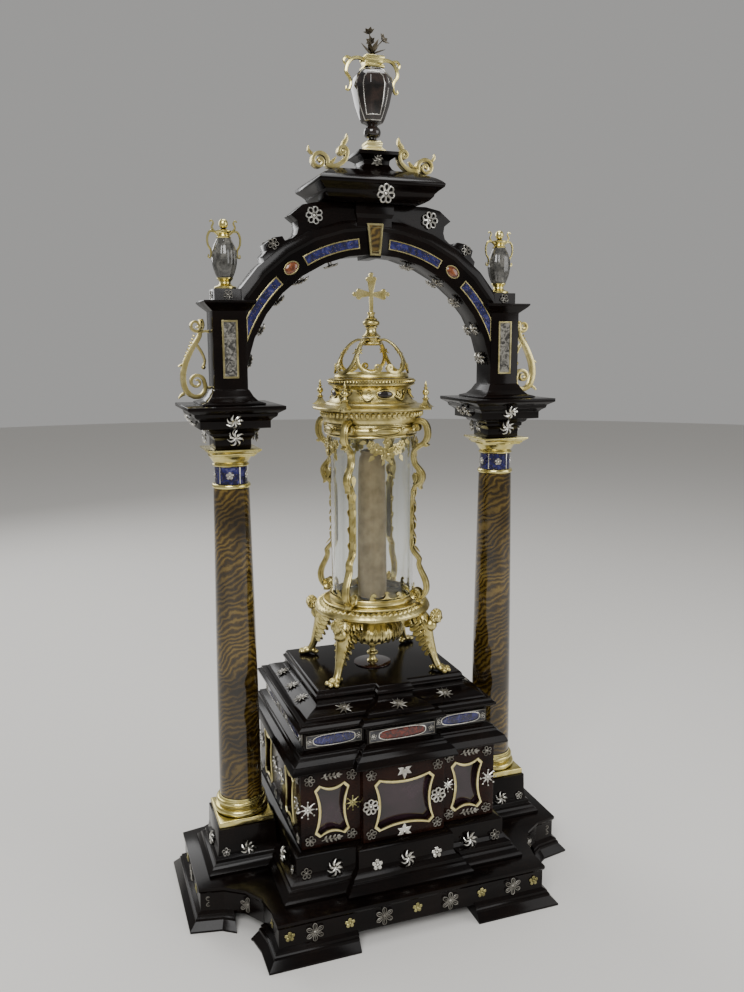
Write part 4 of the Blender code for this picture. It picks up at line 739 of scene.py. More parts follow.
soffit = []
for i, (angle, spin) in enumerate(((71.6, 10), (56, 40), (42.7, 0), (27.3, 75), (13, 20))):
    x, z = onArch(archWork["blossomRadius"], angle)
    soffit.append(("swirl", x, -9 if i % 2 else -4, z, -90, -angle, spin, 0.85))
setFlowers("soffit_blossoms", dullSilver, bothSides(soffit))
pinWork = {"from": 581, "spread": 1.045, "radius": 0.9}  # each pin runs from its blossom away from a point on the axis
soffitPins = [rod([(x, y, z), (x * pinWork["spread"], y, pinWork["from"] + (z - pinWork["from"]) * pinWork["spread"])],
                  pinWork["radius"], steps=1) for kind, x, y, z, *rest in bothSides(soffit)]
finishPiece(soffitPins + [copyAt(pin, Matrix.Rotation(math.pi, 4, "Z")) for pin in soffitPins], "soffit_pins",
            dullSilver)
setFlowers("shoulder_flowers", chasedSilver, bothSides([("loop", 62, -13.2, 714, 0, 0, 11, 0.95)])
           + [("loop", 2.5, -43, 733.5, 0, -14, 0, 1)])
setFlowers("ear_flowers", dullSilver, bothSides([("small", 104, -13, 685.5, 0, 0, 20, 1)])
           + [("small", sx * 150, -14, 636, 0, 0, 30, 0.85) for sx in (-1, 1)]
           + [("small", sx * 163.7, 0, 636, sx * 90, 0, 30, 0.85) for sx in (-1, 1)])
impostStems = []
for sx in (-1, 1):
    for back in (0, 180):
        stem = rod([(sx * 150 - 2, 517.5, 1, 1), (sx * 150 + 2.5, 511.5, 2.4, 0.8), (sx * 150 - 3, 503.5, 2.2, 0.8),
                    (sx * 150 + 1.6, 497.5, 1, 0.9)], 0.55, steps=4)
        impostStems.append(movedTo(stem, turnBy(back, "Z") @ facing(0, -29.5, 0)))
finishPiece(impostStems, "impost_stems", chasedSilver)
setFlowers("impost_blossoms", chasedSilver,
           [("swirl", sx * 150 - 2, -38.8, 515.5, 0, -38, 12, 0.98) for sx in (-1, 1)]
           + [("swirl", sx * 150 + 1, -24.8, 497.5, 0, -14, 40, 0.98) for sx in (-1, 1)]
           + [("swirl", sx * 150 + sx * 38.8, 4, 515.5, sx * 90, -38, 12, 0.9) for sx in (-1, 1)]
           + [("swirl", sx * 150 + sx * 24.5, -4, 498, sx * 90, 0, 60, 0.8) for sx in (-1, 1)])
setFlowers("impost_inner_blossoms", dullSilver,
           [("swirl", sx * 150 - sx * 38.8, 8, 515.5, -sx * 90, -38, 12, 0.85) for sx in (-1, 1)]
           + [("swirl", sx * 150 - sx * 24.5, -8, 498, -sx * 90, 0, 60, 0.75) for sx in (-1, 1)])
setFlowers("neck_rosettes", chasedSilver,
           [("rosette", sx * 150 + 16.8 * sinOf(a), -16.8 * cosOf(a), 458.7, a, 0, 0, 0.75)
            for sx in (-1, 1) for a in range(-15, 340, 72)], False)
print("arch inlaid")


# casket: window frames, frieze plates and applied flowers
windowWork = {"middle": 123.5, "halfHeight": 26, "chamfer": 4.2, "sag": 4.5, "strip": 2.7, "thick": 1.6, "bead": 0.35,
              "frontHalf": 30.5, "sideHalf": 16}


def windowLine(half, grow=0):
    # four sides that bow inward between chamfered corners
    w, h, c, sag = half + grow, windowWork["halfHeight"] + grow, windowWork["chamfer"] + grow * 0.4, windowWork["sag"]
    line = []
    for sx, sy, along in ((1, -1, "x"), (1, 1, "y"), (-1, 1, "x"), (-1, -1, "y")):
        corners = [(sx * (w - c), sy * h), (sx * w, sy * (h - c))]
        line += corners if along == "x" else corners[::-1]
    sides = []
    for i in range(0, 8, 2):
        start, end = line[i - 1], line[i]
        upright = abs(start[0] - end[0]) < 0.01
        for k in range(9):
            t = k / 8
            bow = 4 * sag * t * (1 - t)
            u, v = start[0] + (end[0] - start[0]) * t, start[1] + (end[1] - start[1]) * t
            sides.append((u - math.copysign(bow, u), v) if upright else (u, v - math.copysign(bow, v)))
    return sides


def windowFrame(half):
    # a flat strip with a thin bead on it
    plate = cutPlate([windowLine(half, windowWork["strip"]), windowLine(half, 0)], windowWork["thick"], 0.35)
    bead = rod([(u, v, 0.8) for u, v in windowLine(half, 0.4)], windowWork["bead"], closed=True, steps=1)
    return joined([plate, bead])


frameSide, frameFront = windowFrame(windowWork["sideHalf"]), windowFrame(windowWork["frontHalf"])
windowFrames = []
for heading in (0, 180):
    for frameKind, x, y, side in ((frameFront, 0, -102.9, 0), (frameSide, -75, -92.9, 0), (frameSide, 75, -92.9, 0),
                                  (frameSide, 107.7, -48, 90), (frameSide, 107.7, 48, 90)):
        windowFrames.append(copyAt(frameKind, turnBy(heading, "Z") @ facing(x, y, windowWork["middle"], side)))
putAway(frameFront, frameSide)
finishPiece(windowFrames, "window_frames", creamGilt)

friezeWork = {"low": 190.3, "high": 203.3, "middle": 196.8, "edge": 0.7, "thick": 1, "rim": 1.2, "stoneHeight": 2.6}


def roundEnded(halfLong, halfHigh, sag=0.82):
    # an oval with long flat sides
    points = []
    for i in range(48):
        c, s = math.cos(math.tau * i / 48), math.sin(math.tau * i / 48)
        points.append((halfLong * math.copysign(abs(c) ** (sag if halfLong > 10 else 1), c),
                       halfHigh * math.copysign(abs(s) ** 0.62, s)))
    return points


def longStone(halfLong, halfHigh, height):
    # a long cabochon: thick stone with a wide rounded edge
    return cutPlate([roundEnded(halfLong, halfHigh)], height, height * 0.45, 3)


friezeBays = [(0, -96.3, 35.8, 0), (-70, -86.3, 29.2, 0), (70, -86.3, 29.2, 0), (101.1, 46, 33, 90),
              (101.1, -46, 33, 90), (101.1, 0, 10.2, 90)]
plates, borders, lapisOvals, jasperOvals, ovalFrames = [], [], [], [], []
for x, y, half, heading in friezeBays:
    box = box2d(half, friezeWork["low"], friezeWork["high"])
    inside = box2d(half - friezeWork["edge"], friezeWork["low"] + friezeWork["edge"],
                   friezeWork["high"] - friezeWork["edge"])
    plate, border = cutPlate([box], friezeWork["thick"], 0.15), cutPlate([box, inside], 1.7, 0.25)
    atFront = heading == 0 and x == 0
    stone = (25, 5.2) if atFront else (21.5, 5.2) if half > 20 else (5.6, 4.6)
    outside = [size + friezeWork["rim"] for size in stone]
    for back in (0, 180):
        flat, raised = (turnBy(back, "Z") @ facing(x, y, z, heading) for z in (0, friezeWork["middle"]))
        plates.append(copyAt(plate, flat))
        borders.append(copyAt(border, flat))
        (jasperOvals if atFront else lapisOvals).append(movedTo(longStone(*stone, friezeWork["stoneHeight"]), raised))
        ovalFrames.append(movedTo(cutPlate([roundEnded(*outside), roundEnded(*stone)], 2.4, 0.35), raised))
    putAway(plate, border)
finishPiece(plates, "frieze_plates", steelPlate)
finishPiece(borders, "frieze_borders", dullSilver)
finishPiece(lapisOvals, "frieze_lapis_ovals", lapisStone)
finishPiece(jasperOvals, "frieze_jasper_ovals", jasperStone)
finishPiece(ovalFrames, "frieze_oval_frames", chasedSilver)
setFlowers("frieze_rosettes", chasedSilver,
           bothSides([("small", x, y, friezeWork["middle"], 0, 0, 0, 0.58) for x,
                      y in ((31.6, -97), (95.6, -87), (44.2, -87))])
           + [("small", 101.8, y, friezeWork["middle"], 90, 0, 0, 0.58) for y in (-74, -18, 18, 74)])

bodySmall = bothSides([("small", x, -93.2, z, 0, 0, 15, 1) for x in (98.5, 54.5) for z in (158.5, 93.5)]
                      + [("small", 36.5, -103.2, z, 0, 0, 0, 1) for z in (158.5, 94)])
bodySmall += [("small", 108, y, z, 90, 0, 15, 1) for y in (-84, -12, 12, 84) for z in (158.5, 93.5)]
bodySprigs = bothSides([("sprig", 77, -93.2, z, 0, 0, 0, 0.95) for z in (160.2, 92)])
bodySprigs += [("sprig", 108, y, z, 90, 0, 0, 0.95) for y in (-48, 48) for z in (160.2, 92)]
bodyPalmettes = [("fan", 0, -103.2, 158.5, 0, 0, 180, 1.2), ("fan", 0, -103.2, 90, 0, 0, 0, 1.2)]
setFlowers("body_small_flowers", dullSilver, bodySmall)
setFlowers("body_sprigs", dullSilver, bodySprigs)
setFlowers("body_palmettes", chasedSilver, bodyPalmettes)
setFlowers("body_large_flowers", chasedSilver, bothSides([("loop", 37.2, -103.4, 124.5, 0, 0, 0, 0.92)]))
setFlowers("body_stars", chasedSilver,
           [("star", 100.5, -93.2, 127.5, 0, 0, 0, 1.2), ("star", 53, -93.2, 127, 0, 0, 0, 1),
            ("star", -100.5, -93.2, 127.5, 0, 0, 0, 1.2)]
           + [("star", 108, y, 127.5, 90, 0, 0, 1.1) for y in (-80, -15, 15, 80)])
setFlowers("body_gilt_stars", greenGilt, [("star", -53, -93.2, 127, 0, 0, 0, 1.05)])

lidSlope = 71
setFlowers("lid_asters", dullSilver,
           [("aster", 0, -86, 223.2, 0, lidSlope, 0, 1)] + bothSides([("aster", 56, -76, 223.2, 0, lidSlope, 10, 1)]))
setFlowers("lid_side_asters", dullSilver, [("aster", 90.6, y, 223.6, 90, lidSlope, 10, 1) for y in (-43, 0, 37)])

plinthFlowers = [("swirl", 0, -113.4, 65.4, 0, 14, 0, 0.95)]
plinthFlowers += bothSides([("rosette", 33, -112, 64.4, 0, 12, 0, 1.1), ("swirl", 75.5, -103.4, 65.2, 0, 14, 10, 1)])
plinthFlowers += [("swirl", sx * 118.6, y, 65.2, sx * 90, 14, 0, 0.95) for sx in (-1, 1) for y in (-62, 62)]
plinthFlowers += [("rosette", sx * 117.3, y, 64.4, sx * 90, 12, 0, 0.9) for sx in (-1, 1) for y in (-90, 0, 90)]
setFlowers("plinth_flowers", chasedSilver, plinthFlowers)
setFlowers("plinth_small_flowers", dullSilver, bothSides([("small", 105.5, -101.9, 64.4, 0, 12, 0, 1)]))
pedestalFlowers = bothSides([("swirl", 150, -32.2, 62, 0, 10, 0, 0.95), ("small", 173.5, -32, 62, 0, 10, 0, 0.8)])
pedestalFlowers += [("swirl", sx * 182.4, 0, 62, sx * 90, 10, 0, 0.9) for sx in (-1, 1)]
setFlowers("pedestal_flowers", chasedSilver, pedestalFlowers)

skirtStars = bothSides([("leafStar", x, -139.6, 26, 0, 0, 0, 0.98) for x in (36, 108)])
skirtStars += bothSides([("leafStar", 192, -56, 26, 0, 0, 0, 0.92)])
skirtStars += bothSides([("leafStar", 160.5, -76, 26, 23, 0, 0, 0.85)])
skirtStars += [("leafStar", sx * 206, 0, 26, sx * 90, 0, 0, 0.95) for sx in (-1, 1)]
setFlowers("skirt_leaf_stars", dullSilver, skirtStars)
skirtRosettes = [("rosette", 0, -139.6, 26.5, 0, 0, 0, 1)]
skirtRosettes += bothSides([("rosette", x, -139.6, 26.5, 0, 0, 0, 1) for x in (72, 133)])
skirtRosettes += [("rosette", sx * 206, y, 26.5, sx * 90, 0, 0, 0.95) for sx in (-1, 1) for y in (-30, 30)]
skirtRosettes += [("rosette", sx * 144.4, -112, 26, sx * 90, 0, 0, 0.95) for sx in (-1, 1)]
setFlowers("skirt_rosettes", greenGilt, skirtRosettes)
print("casket dressed")


# top urn, side urns and scrolls
urnWork = {"x": 4, "sides": 8, "halfSide": 22.5, "edgeWire": 0.55}


def facetTurned(profile, sides, start, centre):
    # a many-sided form: a ring of few sides drawn up
    return movedTo(turned(profile, (0, 0), sides), shift(*centre, 0) @ turnBy(start, "Z"))


urnAxis = (urnWork["x"], 0)
squareFoot = facetTurned([(0.3, 778.3), (15.4, 778.3), (15.4, 781.4), (13.8, 782), (11.4, 783.6), (11, 785.4),
                          (12, 787), (11.6, 788.6), (9.6, 790.2), (0.3, 790.4)], 4, 45, urnAxis)
eased(squareFoot, 0.5)
knop = turned([(5.6, 790.2), (4.6, 791.4), (4.4, 793)] + halfRound(793.6, 803.6, 5.2, 8.8, 8)
              + [(5, 804.2), (5.8, 805.4), (8.4, 807.2), (8.4, 807.6), (0.3, 807.6)], urnAxis, 32)
finishPiece(squareFoot, "urn_foot_square", creamGilt, ("urn_foot",))
finishPiece(knop, "urn_knop_turned", smokyQuartz)

bodyProfile = [(0.3, 807.5), (10.9, 807.5), (13, 811.6), (17.4, 823.8), (20.6, 838), (21.5, 841.2), (19.9, 850.4),
               (16, 855), (12.4, 857.6), (10.8, 858.5), (0.3, 858.5)]
crystal = facetTurned(bodyProfile, urnWork["sides"], urnWork["halfSide"], urnAxis)
eased(crystal, 0.5, 12)
finishPiece(crystal, "urn_body_cut", smokyQuartz, ("urn_body",), 20)


def urnReach(v):
    # how far the middle of a face of the cut body stands from the axis
    for (near, low), (far, high) in zip(bodyProfile[1:], bodyProfile[2:]):
        if low <= v <= high:
            return (near + (far - near) * (v - low) / (high - low)) * math.cos(math.pi / urnWork["sides"])
    return bodyProfile[1][0]


def onUrn(angle, v):
    # a spot on the cut body, the angle counted from the front
    half = urnWork["halfSide"]
    reach = urnReach(v) / cosOf((angle + half) % (2 * half) - half) + 0.3
    return urnWork["x"] + reach * sinOf(angle), -reach * cosOf(angle), v


beads = []
coffin = [(30, 813.5), (32, 826), (31, 841), (28, 848), (17, 852)]
outer = [(44, 808.8), (50, 820), (52, 832), (52, 845), (46, 853), (34, 856.8)]
for front in (-14, 166):
    for line in (coffin, outer):
        closed = line + [(-angle, v) for angle, v in line[::-1]]
        fine = []
        for (angle, v), (nextAngle, nextV) in zip(closed, closed[1:] + closed[:1]):
            steps = max(1, round(abs(nextAngle - angle) / 7))
            fine += [(angle + (nextAngle - angle) * i / steps, v + (nextV - v) * i / steps) for i in range(steps)]
        beads.append(rod([onUrn(front + angle, v) for angle, v in fine], urnWork["edgeWire"], closed=True, steps=1))
finishPiece(beads, "urn_silver_edges", chasedSilver)

neckCup = facetTurned([(0.3, 858.8), (14.1, 858.8), (14.1, 860.8), (12.9, 861.4), (11.9, 863), (12.2, 865.4),
                       (13.2, 866.6), (14.1, 867.2), (14.1, 869.4), (13.4, 870), (9.8, 870), (9.6, 862), (0.3, 861.8)],
                      4, 45, urnAxis)
eased(neckCup, 0.4)
handleLine = [(8.5, 866.6, 0, 1.2), (14.5, 868.4, 0, 1.1), (21.5, 866.6, 0, 1), (26, 860.6, 0, 1), (27.2, 854, 0, 1),
              (23.6, 848.8, 0, 0.9), (22.2, 844, 0, 0.9), (24.2, 838.2, 0, 0.8), (27.2, 838, 0, 0.6),
              (27.2, 840.8, 0, 0.5)]
curl = [(21, 866.8, 0, 0.9), (26.5, 868.2, 0, 0.9), (29.6, 864.8, 0, 0.8), (28, 861.4, 0, 0.7), (25.6, 862.6, 0, 0.6),
        (26.4, 864.6, 0, 0.5)]
handle = joined([rod(handleLine, 1.8, roundness=2), rod(curl, 1.6, roundness=2)])
urnHandles = [copyAt(handle, mirror(side) @ facing(0, 0, 0)) for side in (-1, 1)]
putAway(handle)
urnHandles = [movedTo(each, shift(urnWork["x"], 0, 0)) for each in urnHandles]
finishPiece([neckCup] + urnHandles, "urn_neck_cast", brightGilt, ("urn_neck",))

bloomParts = []
petal = movedTo(leafPlate(6.2, 2.6, 0.5, 0.25), turnBy(-28, "Y"))
bloom = joined(ringOf(petal, 6) + [dome(2, 2.4, 10)])
for dx, dy, z, lean, turn, size in ((-3, -1, 892, 20, 200, 1), (11, -1, 886.5, 60, 40, 1.15),
                                    (1, 6, 886, 40, 180, 0.9)):
    bloomParts.append(copyAt(bloom, facing(urnWork["x"] + dx, dy, z, turn, 90 - lean, 0, size)))
    bloomParts.append(rod([(urnWork["x"] + dx * 0.05, dy * 0.15, 866), (urnWork["x"] + dx * 0.25, dy * 0.4, 877),
                           (urnWork["x"] + dx, dy, z)], 0.6, steps=3))
putAway(bloom)
longLeaf = leafPlate(15, 2.9, 0.5, 0.18)
for heading, lean, high in ((-12, 22, 873), (12, 48, 873), (172, 40, 872.5), (215, 55, 872.5), (80, 50, 873),
                            (-75, 58, 873)):
    bloomParts.append(copyAt(longLeaf, shift(urnWork["x"], 0, high) @ turnBy(heading, "Z") @ turnBy(-lean, "Y")))
putAway(longLeaf)
bloomParts.append(turned([(0.3, 863), (6, 863), (5.6, 869), (3, 873), (0.3, 874)], urnAxis, 16))
finishPiece(bloomParts, "urn_flowers_bent", flowerMetal, ("urn_flowers",))
setFlowers("urn_plinth_spray", dullSilver,
           [("fan", urnWork["x"], -14.6, 769, 0, -8, 180, 0.9), ("swirl", urnWork["x"], -17.6, 770.5, 0, -8, 0, 0.6)])

# side urn, modelled on the middle axis
sideFoot = turned([(0.3, 642.3), (11, 642.3), (11, 643.8), (10.2, 644.6), (7.4, 645.4), (5.6, 647.2), (5.4, 649),
                   (6.6, 650.4), (7.9, 652), (7.9, 652.8), (0.3, 652.8)], sides=40)
pair(sideFoot, "side_urn_foot_turned", brightGilt, ("side_urn_foot",))
lobed = turned([(0.3, 653), (7.6, 653)]
               + smoothed([(7.8, 653.2), (9.6, 657.4), (11.6, 664), (12.4, 670.8), (12.1, 676.6), (10.7, 682.4),
                           (8.2, 687.6), (7, 689.8)], 3) + [(0.3, 690)], sides=56)
editVerts(lobed, lambda spot: int(round(angleOf(spot) / (360 / 56))) % 4 == 0 and 655 < spot.z < 688)
bpy.ops.transform.resize(value=(0.93, 0.93, 1), center_override=(0, 0, 0.671))
leaveEdit()
pair(lobed, "side_urn_body_cut", smokyAgate, ("side_urn_body",), smooth=60)
sideLip = turned([(0.3, 690.3), (7, 690.3), (7.4, 691.2), (5.6, 692.4), (5.4, 693.6), (7.6, 695.4), (8.4, 696.4),
                  (8.4, 697.2), (5.4, 698.2), (3, 699.2)] + halfRound(699.6, 708.3, 1.8, 4.5, 8) + [(0.3, 708.4)],
                 sides=36)
thinHandle = rod([(5, 693.4, 0, 1.1), (9.2, 696.6, 0, 1), (13.6, 696.4, 0, 1), (16, 691, 0, 1), (15.6, 684, 0, 0.9),
                  (12.8, 678.6, 0, 0.9), (13.4, 672.6, 0, 0.8), (15.6, 672.4, 0, 0.7), (15.2, 675, 0, 0.6)], 1.15)
horn = rod([(8.8, 696.6, 0, 1), (11.4, 700.6, 0, 0.9), (9.8, 704.6, 0, 0.8), (11.6, 707, 0, 0.7),
            (13.4, 705.6, 0, 0.6)], 1.1)
thin = joined([thinHandle, horn])
sideTop = joined([sideLip] + [copyAt(thin, mirror(side) @ facing(0, 0, 0)) for side in (-1, 1)])
putAway(thin)
pair(sideTop, "side_urn_top_cast", brightGilt, ("side_urn_top",))


def spiral(centre, radius, start, turns, steps=16, inner=0.22):
    # points that wind in towards a centre
    found = []
    for i in range(steps + 1):
        share = i / steps
        angle = math.radians(start) + math.tau * turns * share
        reach = radius * (1 - (1 - inner) * share)
        found.append((centre[0] + reach * math.cos(angle), centre[1] + reach * math.sin(angle)))
    return found


def strap(path, widths, thickness, edge=0.45):
    # a cut strap along a line (u, v) with its own width at each point, the edges rounded
    line = smoothed([(u, v, w) for (u, v), w in zip(path, widths)], 2)
    left, right = [], []
    for i, (u, v, w) in enumerate(line):
        a, b = line[max(i - 1, 0)], line[min(i + 1, len(line) - 1)]
        across = Vector((a[1] - b[1], b[0] - a[0])).normalized() * w / 2
        left.append((u + across.x, v + across.y, 0))
        right.append((u - across.x, v - across.y, 0))
    pickNothing()
    bpy.ops.mesh.primitive_grid_add(x_subdivisions=1, y_subdivisions=len(line) - 1, size=1)
    piece = bpy.context.object
    spots = [spot for pairOf in zip(left, right) for spot in pairOf]
    piece.data.vertices.foreach_set("co", [v * mm for spot in spots for v in spot])
    applied(piece, "SOLIDIFY", thickness=thickness * mm, offset=0)
    tidyMesh(piece)
    return eased(piece, edge, 40)


cornerEye, cornerBig = (32.5, 776), (56.5, 765.4)
big = spiral(cornerBig, 9, 200, -1.5, 22)
small = spiral(cornerEye, 5, 190, -1.3, 14)
scrollPath = big[::-1] + [(45.4, 761.5), (40, 761.2), (34.8, 764), (29.5, 768.6)] + small
scrollWidths = [1.6 + 2.6 * i / 22 for i in range(23)] + [4.8, 5, 4.6, 4] + [3.8 - 2.2 * i / 14 for i in range(15)]
scrollParts = [strap(scrollPath, scrollWidths, 8.6)]
for eye, size in ((cornerBig, 1.7), (cornerEye, 1.3)):
    scrollParts.append(movedTo(dome(size * 1.25, 1.4, 12), shift(*eye, 3.8)))
for line, widths, thickness in (([(32, 780), (30.4, 784.4), (27.8, 788), (27.6, 793)], [3.6, 4.6, 3.4, 0.8], 4.6),
                                ([(47, 763), (42, 766.4), (38.6, 770.8)], [4, 3.2, 0.9], 4.2),
                                ([(63, 772), (66.8, 775.4), (66.6, 779.6)], [3, 2.4, 0.8], 4)):
    scrollParts.append(strap(line, widths, thickness))
pair(movedTo(joined(scrollParts), facing(0, -12, 0)), "cornice_scroll_cut", giltBronze,
     ("cornice_scroll",), True, axis=0)

upper, lower = (30.3, 607), (31.5, 552)
top = spiral(upper, 7.2, 130, 1.4, 20)
pinch = [(27, 597), (33, 588), (39, 577), (43.2, 566), (44.6, 555), (42, 543.6), (34.5, 537.6), (26.6, 539),
         (23, 545.6)]
bottom = spiral(lower, 7.6, 180, -1.35, 20)
pierPath = top[::-1] + pinch + bottom
pierWidths = ([1.5 + 2 * i / 20 for i in range(21)] + [4.2, 4.8, 5.2, 5.4, 5.4, 5.2, 4.6, 4.2, 3.8]
              + [3.6 - 2 * i / 20 for i in range(21)])
pierParts = [strap(pierPath, pierWidths, 6.4)]
pierParts.append(strap([(31.5, 590), (26, 582), (22.6, 573), (24.4, 567)], [3, 2.8, 2.4, 2.6], 4))
pierParts.append(movedTo(dome(2.2, 2, 12), shift(24.2, 566.4, 1)))
for start, end, wide in (((43, 569), (49, 567), 3), ((43.6, 541), (50, 536), 3.6), ((17, 601), (26, 600.5), 3),
                         ((17, 546), (24, 545.5), 3.2)):
    middle = ((start[0] + end[0]) / 2, (start[1] + end[1]) / 2 + 0.8)
    pierParts.append(strap([start, middle, end], [wide, wide * 0.8, 0.9 if end[0] > 40 else wide], 3.6))
for i in range(7):
    pearl = turned([(0.02, -1.3), (0.9, -0.9), (1.3, 0), (0.9, 0.9), (0.02, 1.3)], sides=10)
    pierParts.append(movedTo(pearl, shift(32.6 + i * 1.5, 597 - i * 3.3, 0)))
pair(movedTo(joined(pierParts), facing(0, 0, 0)), "pier_scroll_cut", giltBronze, ("pier_scroll",), True)
print("urns and scrolls cast")


# ostensory: foot, plate and gallery
ostensory = {"y": -6, "diagonals": {"front_right": -45, "back_right": 45, "back_left": 135, "front_left": 225},
             "legSwing": 4, "swagRadius": 47.6, "drum": 41.5, "bowl": 33, "crestFoot": 321.5, "cornerSpot": (61.5, 0)}
toAxis = shift(0, ostensory["y"], 0)


def radial(heading):
    # u runs outward from the ostensory's axis at the heading, v runs up
    return toAxis @ turnBy(heading, "Z") @ turnBy(90, "X")


def wrapped(piece, girth, radiusAt):
    # bends a flat piece (u, v) round the upright axis; u is measured along a circle of the given radius
    for vert in piece.data.vertices:
        u, v, w = vert.co / mm
        reach, angle = radiusAt(v) + w, u / girth
        vert.co = (reach * math.sin(angle) * mm, -reach * math.cos(angle) * mm, v * mm)
    return piece


def roundAxis(piece, count, start=0):
    return [movedTo(each, toAxis) for each in ringOf(piece, count, start)]


def onDiagonals(piece, name, node, swing=0, smooth=40):
    # one copy on each diagonal, swung a little towards the front and the back
    for label, heading in ostensory["diagonals"].items():
        turn = swing if label in ("front_right", "back_left") else -swing
        made = copyAt(piece, radial(heading + turn))
        finishPiece(made, name + "_" + label, giltBronze, (node + "_" + label,), smooth)
    putAway(piece)


def bowlRadius(v):
    # how far the fluted bowl stands from the axis at a height
    return 25.4 + 7.9 * math.sin(math.pi * min(max((v - 266.6) / 26.2, 0), 1)) ** 0.8


stemLine = ([(0.3, 242.3), (6.2, 242.3), (6.2, 243.4), (4.6, 244.6), (3.4, 247), (3.3, 249.4)]
            + halfRound(249.9, 253.9, 4, 6.4) + [(3.6, 254.3), (3, 256.6), (3.4, 259.6)] + halfRound(260, 263.2, 4, 5.8)
            + [(4.4, 263.6), (5.8, 266.8), (0.3, 266.9)])
bowlLine = ([(0.3, 266.8), (18.2, 266.8), (18.9, 267.4), (18.9, 268.6), (18, 269)]
            + smoothed([(18.6, 269.2), (24.5, 270.9), (30.6, 274.6), (33, 279.4), (31.4, 285.2), (27.4, 289.6),
                        (25.2, 292.4)], 3) + [(25.9, 292.9), (25.9, 294), (25, 294.4), (25, 297), (26.6, 301),
                                              (30.5, 304.4), (60.6, 305), (62.4, 305.4), (63, 306.8), (62.7, 308.2),
                                              (61.7, 308.5), (60.6, 310.3), (57.6, 312), (54.6, 312.8), (54.2, 313)]
            + halfRound(313.1, 315.9, 53, 54.3, 5) + [(52.8, 316.1), (48.8, 316.3), (48.4, 316.5), (0.3, 316.5)])
plate = turned(bowlLine, sides=120)
editVerts(plate, lambda spot: round(angleOf(spot) / 3) % 2 == 0 and 308.4 < spot.z < 312.9
          and 54.3 < math.hypot(spot.x, spot.y) < 62)
bpy.ops.transform.translate(value=(0, 0, 1.7 * mm))
leaveEdit()
gallery = turned([(44.4, 316.4), (46.6, 316.4), (46.9, 317.6), (46.5, 318.2), (46.5, 322.4), (46.9, 323), (46.6, 323.5),
                  (44.4, 323.5), (44.4, 316.4)], sides=96)
crestHalf = [(0, 11.8), (1.4, 11.1), (1.9, 9.8), (1.1, 8.6), (1.6, 6.6), (3.4, 4.5), (6.4, 3.4), (10.2, 3.5), (13, 4.4),
             (14.4, 5.8), (13.7, 6.8), (12.5, 6.1), (11.3, 7), (11.6, 8.7), (13.8, 9.7), (16.3, 8.6), (17.8, 5.8),
             (18.6, 2.4), (21, 0.8), (21, -2)]
crestLine = [(u, ostensory["crestFoot"] + v) for u, v in crestHalf]
crest = wrapped(cutPlate([crestLine + [(-u, v) for u, v in crestLine[:0:-1]]], 1.1, 0.3),
                45.5, lambda v: 45.6)
bowlLeaf = wrapped(cutPlate([[(0, 291.5), (2, 286), (2.9, 279), (2.2, 273), (0, 270.5), (-2.2, 273), (-2.9, 279),
                              (-2, 286)]], 1, 0.35), ostensory["bowl"], bowlRadius)
bowlRib = wrapped(rod([(0, 290, 0.6), (0, 280, 0.9), (0, 271.5, 0.6)], 0.45, steps=3), ostensory["bowl"], bowlRadius)
foot = [movedTo(turned(stemLine, sides=48), toAxis), movedTo(plate, toAxis), movedTo(gallery, toAxis)]
foot += roundAxis(crest, 4) + roundAxis(joined([bowlLeaf, bowlRib]), 26)
finishPiece(foot, "ostensory_foot_chased", giltBronze, ("ostensory_base",), 40)
disc = turned([(0.3, 240.8), (20.3, 240.8), (20.5, 241.1), (20.4, 241.8), (19.8, 242), (0.3, 242)], sides=64)
finishPiece(movedTo(disc, toAxis), "stem_disc_polished", darkJasper, ("stem_disc",))

# glass and relic
glass = turned([(41.8, 316.8), (44, 316.8), (44, 498.9), (43.6, 499), (42.2, 499), (41.8, 498.9), (41.8, 316.8)],
               sides=96)
finishPiece(movedTo(glass, toAxis), "glass_blown", clearGlass, ("glass_cylinder",), 30)
relicLine = [(0.3, 316.9), (14.2, 316.9)] + smoothed([(15.4, 318), (15.8, 330), (15.5, 370), (15.2, 410), (14.7, 440),
                                                      (14.2, 460), (13.4, 468), (11.4, 473), (11.8, 476.2),
                                                      (9.4, 477.6)], 6) + [(0.3, 477.9)]
relic = turned(relicLine, sides=64)
for columns, squeeze in (((3, 4, 17, 18, 30, 44, 45, 58), 0.955), ((4, 18, 31, 45, 10, 51), 0.965),
                         ((23, 24, 37), 0.97)):
    editVerts(relic, lambda spot: round(angleOf(spot) % 360 / (360 / 64)) % 64 in columns and 318 < spot.z < 474)
    bpy.ops.transform.resize(value=(squeeze, squeeze, 1), center_override=(0, 0, 0.4))
    leaveEdit()
applied(relic, "SUBSURF", levels=1, render_levels=1)
finishPiece(movedTo(relic, toAxis), "relic_wrapped", wovenLinen, ("relic",), 60)

